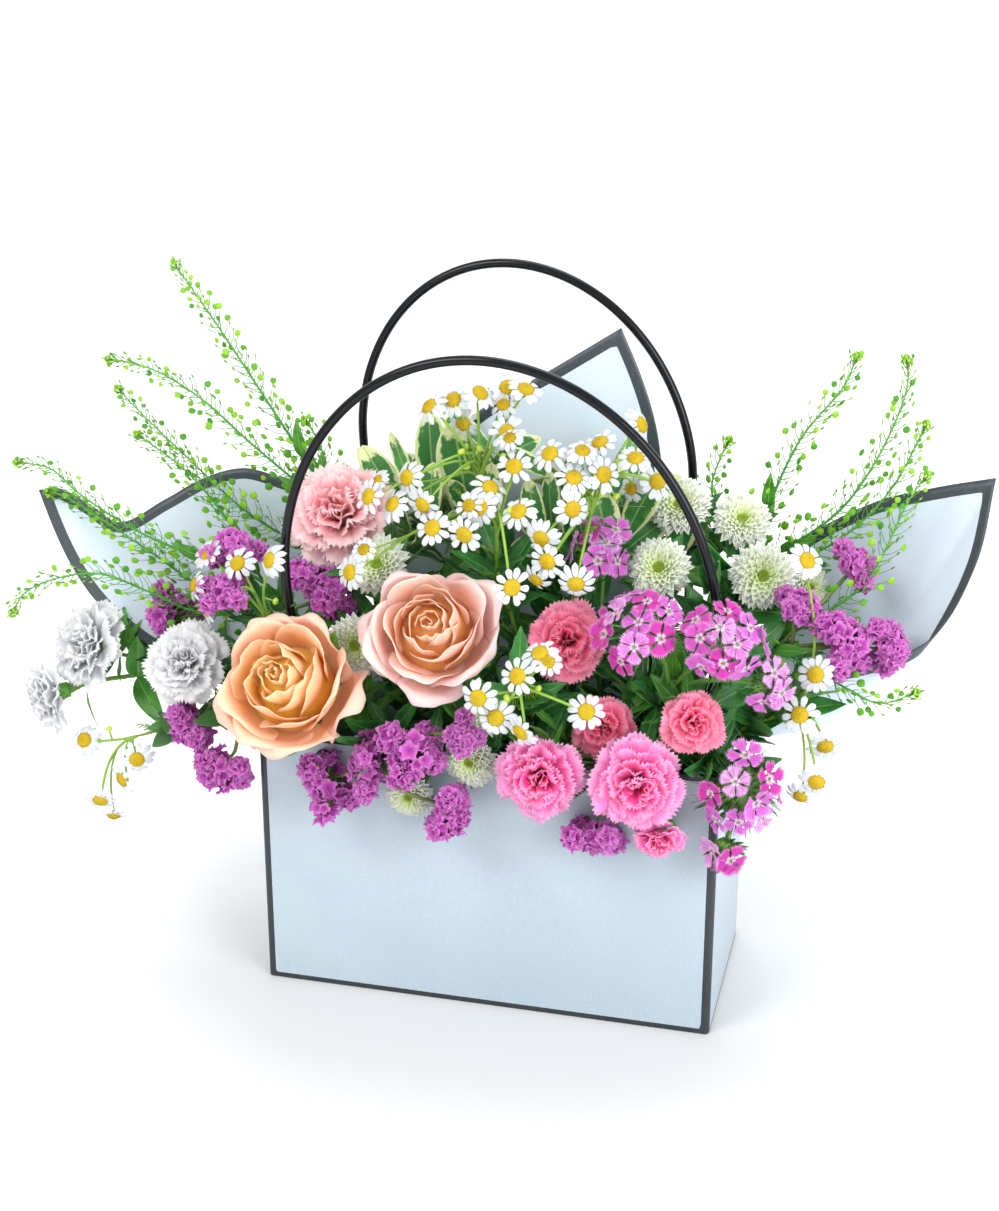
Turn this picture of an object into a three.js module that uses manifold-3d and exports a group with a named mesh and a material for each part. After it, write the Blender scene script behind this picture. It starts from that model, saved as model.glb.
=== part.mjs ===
// Flower arrangement in a low rectangular gift bag with two hoop handles.
// Millimetres, +Z up, -Y to the front, +X to the right of somebody facing the front.
// Origin: the middle of the bag's underside.
//
// The holder comes first: bag, liner, foam, handles and tucked sheets of wrapping paper. Then come the
// sprays, the blooms and the stems. Each piece leaves a small gap to every piece that came before it.

import * as THREE from 'three';
import { mergeVertices } from 'three/addons/utils/BufferGeometryUtils.js';
import Module from 'manifold-3d';

const wasm = await Module();
wasm.setup();

// ---------------------------------------------------------------- driving dimensions

const GAP = 0.3; // clearance between neighbouring pieces
const SLACK = 0.38; // how much wider a piece's surroundings are kept than the piece itself

const SCRAP = 0.25; // details finer than this, left by joining shapes, are smoothed away
const TRIM = 0.01; // the same, for what is left by cutting a piece back from its neighbours

const BAG = { width: 250, depth: 115, height: 150, wall: 1, floor: 1.2, corner: 2.5 };
const LINER = { width: 239, depth: 98, top: 132, wall: 1, corner: 2 };
const FOAM = { top: 142, foot: 106, corner: 1.5 }; // foot: how far down the stems are pushed

const HANDLE = { radius: 2.5, sides: 8, steps: 18, inset: 2.95, foot: 132 };
const PEG = { radius: 1.8, capRadius: 4.5, capThickness: 1.4, height: 139, sides: 6 };
const FRONT_HOOP = { x: 8, z: 231, halfWidth: 112, halfHeight: 129, tilt: 0.3, lean: -7.5, feet: [-86, 99] };
const BACK_HOOP = { x: -5, z: 279, halfWidth: 93, halfHeight: 111, tilt: 0.35, lean: 6, feet: [-86, 88] };

const PAPER = { thickness: 0.9, columns: 7, rows: 4 };

// Colour and roughness.
const LOOKS = {
  board: ['#d3e0ea', 0.55],
  liner: ['#3c4347', 0.4],
  foam: ['#3f6b3a', 0.95],
  handle: ['#15181a', 0.2],
  paper: ['#dbe6f0', 0.5],
  stem: ['#5f8f3c', 0.6],
  roseApricot: ['#f6b27a', 0.75],
  roseBlush: ['#f4bfb4', 0.75],
  pink: ['#f58ac0', 0.75],
  blush: ['#f6b3bd', 0.75],
  white: ['#f2f4f2', 0.75],
  mum: ['#eef3dc', 0.75],
  statice: ['#b04fc0', 0.8],
  lilac: ['#d18ddb', 0.75],
  daisy: ['#f6f6ee', 0.7],
  pennycress: ['#5cb52a', 0.6],
  pittosporum: ['#4f8f3e', 0.5],
};

// ---------------------------------------------------------------- plain geometry

const V = (x, y, z) => new THREE.Vector3(x, y, z);
const mix = THREE.MathUtils.lerp;
const vectors = (rows) => rows.map((row) => V(...row));

// A closed mesh from points and triangles, with its faces turned outwards.
function solid(points, faces) {
  const sixVolumes = faces.map(([a, b, c]) => points[a].dot(points[b].clone().cross(points[c])));
  const inward = sixVolumes.reduce((sum, value) => sum + value, 0) < 0;
  const triVerts = new Uint32Array(faces.flatMap(([a, b, c]) => (inward ? [a, c, b] : [a, b, c])));
  const vertProperties = new Float32Array(points.flatMap((p) => p.toArray()));
  return new wasm.Manifold(new wasm.Mesh({ numProp: 3, vertProperties, triVerts }));
}

// A three.js geometry as a solid: its shared corners are merged first.
function fromGeometry(geometry) {
  geometry.deleteAttribute('normal');
  geometry.deleteAttribute('uv');
  const merged = mergeVertices(geometry, 1e-4);
  const position = merged.attributes.position;
  const corner = (_, i) => V(0, 0, 0).fromBufferAttribute(position, i);
  const points = Array.from({ length: position.count }, corner);
  const index = merged.index.array;
  const faces = [];
  for (let i = 0; i < index.length; i += 3) {
    const face = [index[i], index[i + 1], index[i + 2]];
    if (new Set(face).size === 3) faces.push(face);
  }
  return solid(points, faces);
}

// A skin over a row of rings. The point count of each ring divides, or is divided by, that of the next,
// and a ring of one point is a tip.
function loft(rings) {
  const starts = [];
  const points = [];
  const faces = [];
  for (const ring of rings) {
    starts.push(points.length);
    points.push(...ring);
  }
  for (let k = 1; k < rings.length; k++) {
    const widens = rings[k].length >= rings[k - 1].length;
    const [big, small] = widens ? [k, k - 1] : [k - 1, k];
    const [bigSize, smallSize] = [rings[big].length, rings[small].length];
    const partner = (i) => starts[small] + (Math.round(((i + 0.5) * smallSize) / bigSize) % smallSize);
    for (let i = 0; i < bigSize; i++) {
      const [here, next] = [starts[big] + i, starts[big] + ((i + 1) % bigSize)];
      const [before, now] = [partner((i + bigSize - 1) % bigSize), partner(i)];
      faces.push(widens ? [now, next, here] : [here, next, now]);
      if (before !== now) faces.push(widens ? [before, now, here] : [here, now, before]);
    }
  }
  const last = starts.at(-1);
  for (let i = 1; i < rings[0].length - 1; i++) faces.push([0, i + 1, i]);
  for (let i = 1; i < rings.at(-1).length - 1; i++) faces.push([last, last + i, last + i + 1]);
  return solid(points, faces);
}

// A cross frame at each point of a path, turned as little as possible from one point to the next.
function framesAlong(path) {
  let normal = null;
  return path.map((point, k) => {
    const ahead = path[Math.min(k + 1, path.length - 1)];
    const behind = path[Math.max(k - 1, 0)];
    const along = ahead.clone().sub(behind).normalize();
    const hint = normal ?? (Math.abs(along.z) < 0.9 ? V(0, 0, 1) : V(0, 1, 0));
    normal = hint.clone().addScaledVector(along, -hint.dot(along)).normalize();
    return { point, along, normal, across: along.clone().cross(normal) };
  });
}

// The point of a frame at an angle round its path, a radius out, and shifted along the path.
function around({ point, along, normal, across }, turn, radius, shift = 0) {
  return point.clone()
    .addScaledVector(normal, radius * Math.cos(turn))
    .addScaledVector(across, radius * Math.sin(turn))
    .addScaledVector(along, shift);
}

// A round bar along a path of points; radiusAt gives its radius from 0 at the start to 1 at the end.
// extra makes it wider, and longer at both ends.
function bar(path, radiusAt, sides, extra = 0) {
  const grown = extra / Math.cos(Math.PI / sides);
  const last = path.length - 1;
  return loft(framesAlong(path).map((frame, k) => {
    const radius = radiusAt(k / last) + grown;
    const shift = { 0: -extra, [last]: extra }[k] ?? 0;
    return Array.from({ length: sides }, (_, i) => around(frame, (2 * Math.PI * i) / sides, radius, shift));
  }));
}

// A thin curved sheet: surface(u, v) gives its middle, for u and v from 0 to 1.
// Both faces are split into the same triangles.
function sheet(surface, columns, rows, thickness) {
  const points = [];
  const faces = [];
  const step = 1e-3;
  const perFace = (columns + 1) * (rows + 1);
  for (const side of [0.5, -0.5]) {
    for (let j = 0; j <= rows; j++) {
      for (let i = 0; i <= columns; i++) {
        const [u, v] = [i / columns, j / rows];
        const du = surface(Math.min(u + step, 1), v).sub(surface(Math.max(u - step, 0), v));
        const dv = surface(u, Math.min(v + step, 1)).sub(surface(u, Math.max(v - step, 0)));
        const normal = du.cross(dv).normalize();
        points.push(surface(u, v).addScaledVector(normal, side * thickness));
      }
    }
  }
  const at = (i, j) => j * (columns + 1) + i;
  for (let j = 0; j < rows; j++) {
    for (let i = 0; i < columns; i++) {
      const [a, b, c, d] = [at(i, j), at(i + 1, j), at(i + 1, j + 1), at(i, j + 1)];
      faces.push([a, b, c], [a, c, d]);
      faces.push([perFace + a, perFace + c, perFace + b], [perFace + a, perFace + d, perFace + c]);
    }
  }
  const rim = [];
  for (let i = 0; i < columns; i++) rim.push(at(i, 0));
  for (let j = 0; j < rows; j++) rim.push(at(columns, j));
  for (let i = columns; i > 0; i--) rim.push(at(i, rows));
  for (let j = rows; j > 0; j--) rim.push(at(0, j));
  rim.forEach((a, k) => {
    const b = rim[(k + 1) % rim.length];
    faces.push([a, perFace + b, b], [a, perFace + a, perFace + b]);
  });
  return solid(points, faces);
}

// The place of a bloom: its own +Z turned to an axis, then spun about it.
function seat(centre, axis, spin = 0) {
  const turn = new THREE.Quaternion().setFromUnitVectors(V(0, 0, 1), V(...axis).normalize());
  turn.multiply(new THREE.Quaternion().setFromAxisAngle(V(0, 0, 1), spin));
  return new THREE.Matrix4().compose(V(...centre), turn, V(1, 1, 1));
}

const smooth = (points, count) => new THREE.CatmullRomCurve3(points).getPoints(count);
const unite = (solids) => wasm.Manifold.union(solids);

// ---------------------------------------------------------------- the list of finished pieces

const finished = []; // { name, body, keep, look }

function boxesMeet(a, b) {
  const [p, q] = [a.boundingBox(), b.boundingBox()];
  return [0, 1, 2].every((k) => p.min[k] <= q.max[k] && q.min[k] <= p.max[k]);
}

// Cuts a body back from everything that is finished, and keeps its largest part.
function clearOfFinished(body) {
  let result = body;
  for (const other of finished) {
    if (boxesMeet(result, other.keep)) result = result.subtract(other.keep);
  }
  const parts = result.decompose();
  parts.sort((a, b) => b.volume() - a.volume());
  return parts[0].asOriginal().simplify(TRIM);
}

// Finishes a piece. Each of its parts is a pair: the solid, and the room that is kept clear around it.
function finish(name, parts, look) {
  const whole = unite(parts.map((part) => part.solid));
  const body = clearOfFinished(whole.asOriginal().simplify(SCRAP));
  const keep = unite(parts.map((part) => part.keep));
  finished.push({ name, body, keep, look });
}

// ---------------------------------------------------------------- bag, liner and foam

function roundedBlock(width, depth, corner, bottom, top) {
  const [x, y] = [width / 2, depth / 2];
  const outline = new THREE.Shape();
  outline.moveTo(-x + corner, -y);
  outline.lineTo(x - corner, -y);
  outline.absarc(x - corner, -y + corner, corner, -Math.PI / 2, 0);
  outline.lineTo(x, y - corner);
  outline.absarc(x - corner, y - corner, corner, 0, Math.PI / 2);
  outline.lineTo(-x + corner, y);
  outline.absarc(-x + corner, y - corner, corner, Math.PI / 2, Math.PI);
  outline.lineTo(-x, -y + corner);
  outline.absarc(-x + corner, -y + corner, corner, Math.PI, 1.5 * Math.PI);
  const options = { depth: top - bottom, bevelEnabled: false, curveSegments: 1 };
  return fromGeometry(new THREE.ExtrudeGeometry(outline, options)).translate([0, 0, bottom]);
}

// An open box with the given wall and floor; extra thickens it on all sides.
function openBox({ width, depth, wall, corner }, bottom, floor, top, extra = 0) {
  const [outerWidth, outerDepth] = [width + 2 * extra, depth + 2 * extra];
  const outer = roundedBlock(outerWidth, outerDepth, corner + extra, bottom - extra, top + extra);
  const inset = 2 * (wall + extra);
  const innerCorner = Math.max(corner - wall - extra, 0.3);
  const inner = roundedBlock(width - inset, depth - inset, innerCorner, bottom + floor + extra, top + 10);
  return outer.subtract(inner);
}

function makeBag() {
  const args = [BAG, 0, BAG.floor, BAG.height];
  finish('bag', [{ solid: openBox(...args), keep: openBox(...args, SLACK) }], LOOKS.board);
}

const LINER_BOTTOM = BAG.floor + GAP;

function makeLiner() {
  const args = [LINER, LINER_BOTTOM, LINER.wall, LINER.top];
  finish('liner', [{ solid: openBox(...args), keep: openBox(...args, SLACK) }], LOOKS.liner);
}

// The foam comes last of all, so that each stem stands in a hole of its own.
function makeFoam() {
  const inset = 2 * (LINER.wall + GAP);
  const bottom = LINER_BOTTOM + LINER.wall + GAP;
  const block = roundedBlock(LINER.width - inset, LINER.depth - inset, FOAM.corner, bottom, FOAM.top);
  finish('foam', [{ solid: block, keep: block }], LOOKS.foam);
}

// ---------------------------------------------------------------- handles

// Each hoop is the upper part of a tilted ellipse whose ends run down inside the bag's panel.
function hoopPath(hoop, side) {
  const inside = side * (BAG.depth / 2 - BAG.wall - HANDLE.inset);
  const leaning = (z) => inside + hoop.lean * Math.max(0, (z - BAG.height) / 200);
  const onEllipse = (turn) => {
    const [across, up] = [hoop.halfWidth * Math.cos(turn), hoop.halfHeight * Math.sin(turn)];
    const x = hoop.x + across * Math.cos(hoop.tilt) - up * Math.sin(hoop.tilt);
    const z = hoop.z + across * Math.sin(hoop.tilt) + up * Math.cos(hoop.tilt);
    return V(x, leaning(z), z);
  };
  const top = [];
  for (let k = 0; k <= 12; k++) top.push(onEllipse(mix(Math.PI + 0.1 - hoop.tilt, -0.1 - hoop.tilt, k / 12)));
  const [left, right] = hoop.feet;
  const foot = (x) => V(x, inside, HANDLE.foot);
  const shin = (x, knee) => V(mix(x, knee.x, 0.25), inside, BAG.height + 6);
  return [foot(left), shin(left, top[0]), ...top, shin(right, top.at(-1)), foot(right)];
}

function handleBar(path, radius) {
  const section = new THREE.Shape();
  section.absarc(0, 0, radius, 0, 2 * Math.PI);
  const options = {
    steps: HANDLE.steps,
    curveSegments: HANDLE.sides / 2,
    extrudePath: new THREE.CatmullRomCurve3(path),
    bevelEnabled: false,
  };
  return fromGeometry(new THREE.ExtrudeGeometry(section, options));
}

function pegAndCap(x, side, extra) {
  const y = (depth) => side * (BAG.depth / 2 + depth);
  const inner = y(-BAG.wall - HANDLE.inset);
  const capInner = y(GAP);
  const capOuter = y(GAP + PEG.capThickness);
  const peg = [V(x, inner, PEG.height), V(x, y(GAP + 0.5), PEG.height)];
  const cap = [V(x, capInner, PEG.height), V(x, capOuter, PEG.height)];
  return [
    bar(peg, () => PEG.radius, PEG.sides, extra),
    bar(cap, () => PEG.capRadius, PEG.sides, extra),
  ];
}

function makeHandle(name, hoop, side) {
  const path = hoopPath(hoop, side);
  const whole = (extra) => {
    const pegs = hoop.feet.flatMap((x) => pegAndCap(pegX(path, x), side, extra));
    return unite([handleBar(path, HANDLE.radius + extra), ...pegs]);
  };
  finish(name, [{ solid: whole(0), keep: whole(SLACK) }], LOOKS.handle);
}

// The bar's own x at the height of the peg, near the foot at x.
function pegX(path, x) {
  const [foot, shin] = x < 0 ? path : [path.at(-1), path.at(-2)];
  return mix(foot.x, shin.x, (PEG.height - foot.z) / (shin.z - foot.z));
}

// ---------------------------------------------------------------- sheets of wrapping paper

// A sheet stands in the gap between liner and bag, and flares out above the rim to its top edge.
// sag pushes the middle of the flared part outwards.
function paperSurface({ tuck, rim, edge, sag }) {
  const top = new THREE.CatmullRomCurve3(vectors(edge), false, 'centripetal');
  const hinge = 1 / PAPER.rows;
  return (u, v) => {
    const low = V(...tuck[0]).lerp(V(...tuck[1]), u);
    const mid = V(...rim[0]).lerp(V(...rim[1]), u);
    const high = top.getPoint(u);
    if (v <= hinge) return low.lerp(mid, v / hinge);
    const t = (v - hinge) / (1 - hinge);
    const bulge = V(...sag).multiplyScalar(Math.sin(Math.PI * t) * Math.sin(Math.PI * (0.15 + 0.7 * u)));
    return mid.lerp(high, t).add(bulge);
  };
}

const TUCK_Z = 70;
const SIDE_GAP_X = 123.1;
const BACK_GAP_Y = 50.2;
const OVER_RIM = 152;

const PAPERS = {
  paper_left: {
    tuck: [[-SIDE_GAP_X, -20, TUCK_Z], [-SIDE_GAP_X, 40, TUCK_Z]],
    rim: [[-SIDE_GAP_X, -20, OVER_RIM], [-SIDE_GAP_X, 42, OVER_RIM]],
    edge: [
      [-287, 20, 253], [-275, 24, 254], [-259, 28, 245], [-242, 30, 234], [-215, 36, 248],
      [-192, 42, 261], [-169, 46, 267], [-143, 49, 261], [-120, 50, 257],
    ],
    sag: [-8, -1, -10],
  },
  paper_back: {
    tuck: [[-78, BACK_GAP_Y, TUCK_Z], [72, BACK_GAP_Y, TUCK_Z]],
    rim: [[-80, BACK_GAP_Y, OVER_RIM], [74, BACK_GAP_Y, OVER_RIM]],
    edge: [
      [-84, 49, 262], [-64, 48, 276], [-28, 47, 309], [11, 47, 333], [47, 47, 358],
      [57, 47, 329], [66, 48, 303], [75, 49, 276],
    ],
    sag: [0, 2, 0],
  },
  paper_right: {
    tuck: [[SIDE_GAP_X, 40, TUCK_Z], [SIDE_GAP_X, -20, TUCK_Z]],
    rim: [[SIDE_GAP_X, 42, OVER_RIM], [SIDE_GAP_X, -20, OVER_RIM]],
    edge: [
      [145, 50, 243], [166, 42, 260], [192, 32, 277], [221, 20, 289], [249, 10, 298],
      [242, -6, 257], [223, -16, 219], [189, -22, 204], [139, -24, 194],
    ],
    sag: [13, -1, -15],
  },
};

function makePapers() {
  for (const [name, paper] of Object.entries(PAPERS)) {
    const surface = paperSurface(paper);
    const wide = sheet(surface, PAPER.columns, PAPER.rows, PAPER.thickness + 2 * SLACK);
    const shifts = [-SLACK, SLACK].flatMap((x) => [-SLACK, SLACK].map((y) => [x, y, 0]));
    const part = {
      solid: sheet(surface, PAPER.columns, PAPER.rows, PAPER.thickness),
      keep: unite(shifts.map((shift) => wide.translate(shift))),
    };
    finish(name, [part], LOOKS.paper);
  }
}

// ---------------------------------------------------------------- room among the flowers

// A stem is { owner, points, radius }, and a bloom is { owner, centre, axis, radius, depth }.
const obstacles = [];

function roomTo(obstacle, point) {
  if (obstacle.points) {
    return Math.min(...obstacle.points.map((other) => other.distanceTo(point))) - obstacle.radius;
  }
  const out = point.clone().sub(obstacle.centre);
  const along = out.dot(obstacle.axis) + obstacle.depth * 0.4;
  const across = Math.sqrt(Math.max(0, out.lengthSq() - out.dot(obstacle.axis) ** 2));
  return (Math.hypot(across / obstacle.radius, along / obstacle.depth) - 1) * obstacle.depth;
}

const WALL_BAND = { inside: 4, outside: 1 };

// How far a point is from the walls of liner and bag: over them it is free above the rim only.
function roomInBag({ x, y, z }) {
  const { inside, outside } = WALL_BAND;
  const pastLiner = Math.max(Math.abs(x) - LINER.width / 2, Math.abs(y) - LINER.depth / 2) + inside;
  const pastBag = Math.max(Math.abs(x) - BAG.width / 2, Math.abs(y) - BAG.depth / 2) - outside;
  if (pastBag > 0) return pastBag;
  return pastLiner > 0 ? z - BAG.height : Infinity;
}

function roomFor(path, radius, owner) {
  let room = Infinity;
  for (const point of path) {
    for (const obstacle of obstacles) {
      if (obstacle.owner === owner) continue;
      if (obstacle.reach && obstacle.heart.distanceTo(point) > obstacle.reach + 12) continue;
      room = Math.min(room, roomTo(obstacle, point) - radius);
    }
    room = Math.min(room, roomInBag(point) - radius);
  }
  return room;
}

function blockStem(owner, path, radius) {
  const dense = smooth(path, path.length * 3);
  const heart = dense[Math.floor(dense.length / 2)];
  const reach = Math.max(...dense.map((point) => point.distanceTo(heart))) + radius;
  obstacles.push({ owner, points: dense, radius, heart, reach });
}

// Each paper is a cloud of points to the stems.
function blockPapers() {
  for (const [name, paper] of Object.entries(PAPERS)) {
    const surface = paperSurface(paper);
    const points = [];
    for (let i = 0; i <= 12; i++) for (let j = 3; j <= 12; j++) points.push(surface(i / 12, j / 12));
    obstacles.push({ owner: name, points, radius: 5 });
  }
}

function blockBloom(owner, centre, axis, radius, depth) {
  const heart = V(...centre);
  obstacles.push({ owner, centre: heart, axis: V(...axis).normalize(), radius, depth, heart, reach: radius });
}

const ENOUGH_ROOM = 1.2;
const BEND_STEPS = 5;

// A curve from a bloom's root, first along `away`, that ends straight down in the foam or runs into the
// stem it branches from. Of all feet and bends it takes the first with room, or else the roomiest.
function threadStem(root, away, feet, radius, owner) {
  let best = null;
  for (const foot of feet) {
    for (const pull of [0.35, 0.2, 0.55, 0.8]) {
      for (const lift of [0.35, 0.15, 0.55, 0.8]) {
        const span = root.distanceTo(foot.point);
        const leaving = root.clone().addScaledVector(away, pull * span);
        const arriving = foot.point.clone().addScaledVector(foot.up, lift * span);
        const curve = new THREE.CubicBezierCurve3(root, leaving, arriving, foot.point);
        const path = curve.getPoints(BEND_STEPS);
        const room = roomFor(path.slice(1), radius, owner);
        if (!best || room > best.room) best = { path, room };
        if (room > ENOUGH_ROOM) return best.path;
      }
    }
  }
  return best.path;
}

function foamFeet(x, y) {
  const feet = [];
  for (const [dx, dy] of [[0, 0], [6, 0], [-6, 0], [0, 6], [0, -6], [12, 4], [-12, 4], [10, -8], [-10, -8]]) {
    const [footX, footY] = [THREE.MathUtils.clamp(x + dx, -112, 112), THREE.MathUtils.clamp(y + dy, -42, 42)];
    feet.push({ point: V(footX, footY, FOAM.top + 1), up: V(0, 0, 1) });
  }
  return feet;
}

// Feet along the lower part of a stem that has been placed.
function stemFeet(path) {
  const curve = new THREE.CatmullRomCurve3(path);
  return [0.55, 0.45, 0.65, 0.35, 0.75, 0.25].map((t) => ({
    point: curve.getPoint(t),
    up: curve.getTangent(t).negate(),
  }));
}

const inFoam = (path) => [...path, V(path.at(-1).x, path.at(-1).y, FOAM.foot)];

function stemPart(path, radiusAt, sides) {
  return { solid: bar(path, radiusAt, sides), keep: bar(path, radiusAt, sides, SLACK) };
}

// ---------------------------------------------------------------- blooms made of star-shaped rings

// The rings of a bloom about +Z. In each row r and z are in bloom radii. A row with a notch is a star with
// a tip for each petal: notch is how deep it is cut, wave the height of its ruffle, and odd puts its tips
// between those of its neighbour. A row without r is a tip on the axis.
function bloomRings(rows, petals, size, place) {
  return rows.map(({ r = 0, z, notch = 0, wave = 0, odd = false }) => {
    if (r === 0) return [V(0, 0, z * size).applyMatrix4(place)];
    const count = notch > 0 ? 2 * petals : petals;
    return Array.from({ length: count }, (_, i) => {
      const turn = (2 * Math.PI * i) / count;
      const isTip = (i % 2 === 0) !== odd;
      const radius = r * size * (isTip ? 1 : 1 - notch);
      const height = size * (z + wave * Math.sin((Math.PI * i) / 2 + (odd ? 1 : 0)));
      return V(radius * Math.cos(turn), radius * Math.sin(turn), height).applyMatrix4(place);
    });
  });
}

const ringBloom = (rows, petals, size, place) => loft(bloomRings(rows, petals, size, place));

// The room kept around a bloom: a plain turned body a little larger than it.
function ringKeep(profile, size, place, sides = 8) {
  const grown = SLACK / Math.cos(Math.PI / sides);
  const rings = profile.map(([r, z]) => {
    if (r === 0) return [V(0, 0, z * size + Math.sign(z) * SLACK).applyMatrix4(place)];
    return Array.from({ length: sides }, (_, i) => {
      const turn = (2 * Math.PI * i) / sides;
      const radius = (r * size) / Math.cos(Math.PI / sides) + grown;
      const height = z * size + Math.sign(z) * SLACK;
      return V(radius * Math.cos(turn), radius * Math.sin(turn), height).applyMatrix4(place);
    });
  });
  return loft(rings);
}

// A small bloom in one piece with its stalk: the stalk's few sides open out into the bloom's rings.
const STALK_SIDES = 3;

function stalkedBloom(path, axis, rows, petals, size, radius, extra = 0) {
  const sides = petals % STALK_SIDES === 0 ? STALK_SIDES : petals;
  const frames = framesAlong(path);
  const grown = radius + extra / Math.cos(Math.PI / sides);
  const stalkRings = frames.map((frame) =>
    Array.from({ length: sides }, (_, i) => around(frame, (2 * Math.PI * i) / sides, grown)));
  const { normal } = frames.at(-1);
  const up = V(...axis).normalize();
  const right = normal.clone().addScaledVector(up, -normal.dot(up)).normalize();
  const place = new THREE.Matrix4().makeBasis(right, up.clone().cross(right), up);
  place.setPosition(path.at(-1).clone().addScaledVector(up, rows.shiftToRoot * size));
  const rings = bloomRings(rows.rings, petals, size + extra, place);
  if (extra === 0) return loft([...stalkRings, ...rings]);
  const lifted = (ring, height) => ring.map((point) => point.clone().addScaledVector(up, height));
  return loft([...stalkRings, lifted(rings[0], -extra), ...rings.map((ring) => lifted(ring, extra))]);
}

const CARNATION = {
  petals: 10,
  rows: [
    { z: 0.36 },
    { r: 0.42, z: 0.42, notch: 0.25, wave: 0.05 },
    { r: 0.32, z: 0.22 },
    { r: 0.7, z: 0.25, notch: 0.16, wave: 0.06, odd: true },
    { r: 0.44, z: 0.04 },
    { r: 0.9, z: 0.02, notch: 0.14, wave: 0.06 },
    { r: 0.48, z: -0.13 },
    { r: 1, z: -0.2, notch: 0.14, wave: 0.05, odd: true },
    { r: 0.4, z: -0.32 },
    { r: 0.2, z: -0.52 },
  ],
  keep: [
    [0, 0.46], [0.42, 0.48], [0.7, 0.32], [1, 0.02], [1, -0.27], [0.4, -0.36], [0.2, -0.5], [0.2, -0.53],
  ],
};

const SMALL_CARNATION = {
  petals: 8,
  rows: [
    { z: 0.32 },
    { r: 0.45, z: 0.4, notch: 0.22, wave: 0.06 },
    { r: 0.32, z: 0.2 },
    { r: 0.8, z: 0.16, notch: 0.16, wave: 0.07, odd: true },
    { r: 0.46, z: -0.05 },
    { r: 1, z: -0.16, notch: 0.16, wave: 0.06 },
    { r: 0.4, z: -0.32 },
    { r: 0.2, z: -0.52 },
  ],
  keep: CARNATION.keep,
};

const MUM = {
  petals: 10,
  rows: [
    { z: 0.3 },
    { r: 0.22, z: 0.2 },
    { r: 0.52, z: 0.34, notch: 0.35 },
    { r: 0.32, z: 0.08 },
    { r: 0.8, z: 0.16, notch: 0.35, odd: true },
    { r: 0.4, z: -0.06 },
    { r: 1, z: -0.06, notch: 0.36 },
    { r: 0.28, z: -0.26 },
    { r: 0.14, z: -0.36 },
  ],
  keep: [
    [0, 0.33], [0.52, 0.36], [0.8, 0.2], [1, -0.03], [1, -0.1], [0.28, -0.28], [0.14, -0.35], [0.14, -0.37],
  ],
};

const SMALL_MUM = {
  petals: 10,
  rows: [
    { z: 0.32 },
    { r: 0.24, z: 0.2 },
    { r: 0.68, z: 0.26, notch: 0.38 },
    { r: 0.36, z: 0.02 },
    { r: 1, z: -0.04, notch: 0.38, odd: true },
    { r: 0.28, z: -0.26 },
    { r: 0.14, z: -0.36 },
  ],
  keep: MUM.keep,
};

// ---------------------------------------------------------------- roses

// Layers from the bud outwards. Sizes are in bloom radii; the path goes from a petal's root to its lip.
const ROSE_LAYERS = [
  {
    petals: 3, halfWidth: 1.0, start: 1.3, columns: 2,
    path: [[0.14, -0.5], [0.36, -0.3], [0.33, 0.2], [0.24, 0.42]],
  },
  {
    petals: 3, halfWidth: 1.0, start: 0.5, columns: 3,
    path: [[0.25, -0.52], [0.58, -0.36], [0.5, 0.12], [0.5, 0.34]],
  },
  {
    petals: 5, halfWidth: 0.7, start: 0.1, columns: 3,
    path: [[0.36, -0.53], [0.82, -0.46], [0.66, 0.08], [0.84, 0.2]],
  },
  {
    petals: 5, halfWidth: 0.72, start: 0.75, columns: 3,
    path: [[0.44, -0.55], [1.0, -0.6], [0.72, 0.0], [1.02, -0.04]],
  },
];
const ROSE_PETAL = { thickness: 0.9, rows: 3, rootWidth: 0.5, roundness: 0.2, spiral: 0.045 };
const ROSE_BUD = [
  { z: -0.45 }, { r: 0.1, z: -0.4 }, { r: 0.21, z: 0 }, { r: 0.17, z: 0.34, notch: 0.3 }, { z: 0.2 },
];
const ROSE_HIP = [{ r: 0.14, z: -0.69 }, { r: 0.52, z: -0.6 }, { r: 0.54, z: -0.5 }, { r: 0.08, z: -0.38 }];
const ROSE_KEEP = [
  [0, 0.44], [0.4, 0.44], [0.86, 0.24], [1.03, 0.02], [1.02, -0.1],
  [0.72, -0.5], [0.5, -0.6], [0.14, -0.68], [0.14, -0.69],
];

function rosePetal(layer, index, size, place) {
  const [p0, p1, p2, p3] = layer.path.map(([r, z]) => new THREE.Vector2(r, z));
  const profile = new THREE.CubicBezierCurve(p0, p1, p2, p3);
  const middle = layer.start + (2 * Math.PI * index) / layer.petals;
  const surface = (u, v) => {
    const across = 2 * u - 1;
    const point = profile.getPoint(v * (1 - ROSE_PETAL.roundness * Math.abs(across) ** 2.2));
    const opening = Math.sin((Math.PI / 2) * Math.min(1, 1.6 * v));
    const turn = middle + across * layer.halfWidth * mix(ROSE_PETAL.rootWidth, 1, opening);
    const radius = point.x + ROSE_PETAL.spiral * across * Math.min(1, 2.5 * v);
    const local = V(radius * Math.cos(turn), radius * Math.sin(turn), point.y);
    return local.multiplyScalar(size).applyMatrix4(place);
  };
  return sheet(surface, layer.columns, ROSE_PETAL.rows, ROSE_PETAL.thickness);
}

function rose(size, place) {
  const petals = ROSE_LAYERS.flatMap((layer) =>
    Array.from({ length: layer.petals }, (_, index) => rosePetal(layer, index, size, place)));
  const core = [ringBloom(ROSE_HIP, 7, size, place), ringBloom(ROSE_BUD, 3, size, place)];
  return { solid: unite([...core, ...petals]), keep: ringKeep(ROSE_KEEP, size, place) };
}

// ---------------------------------------------------------------- blooms and their stems

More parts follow.
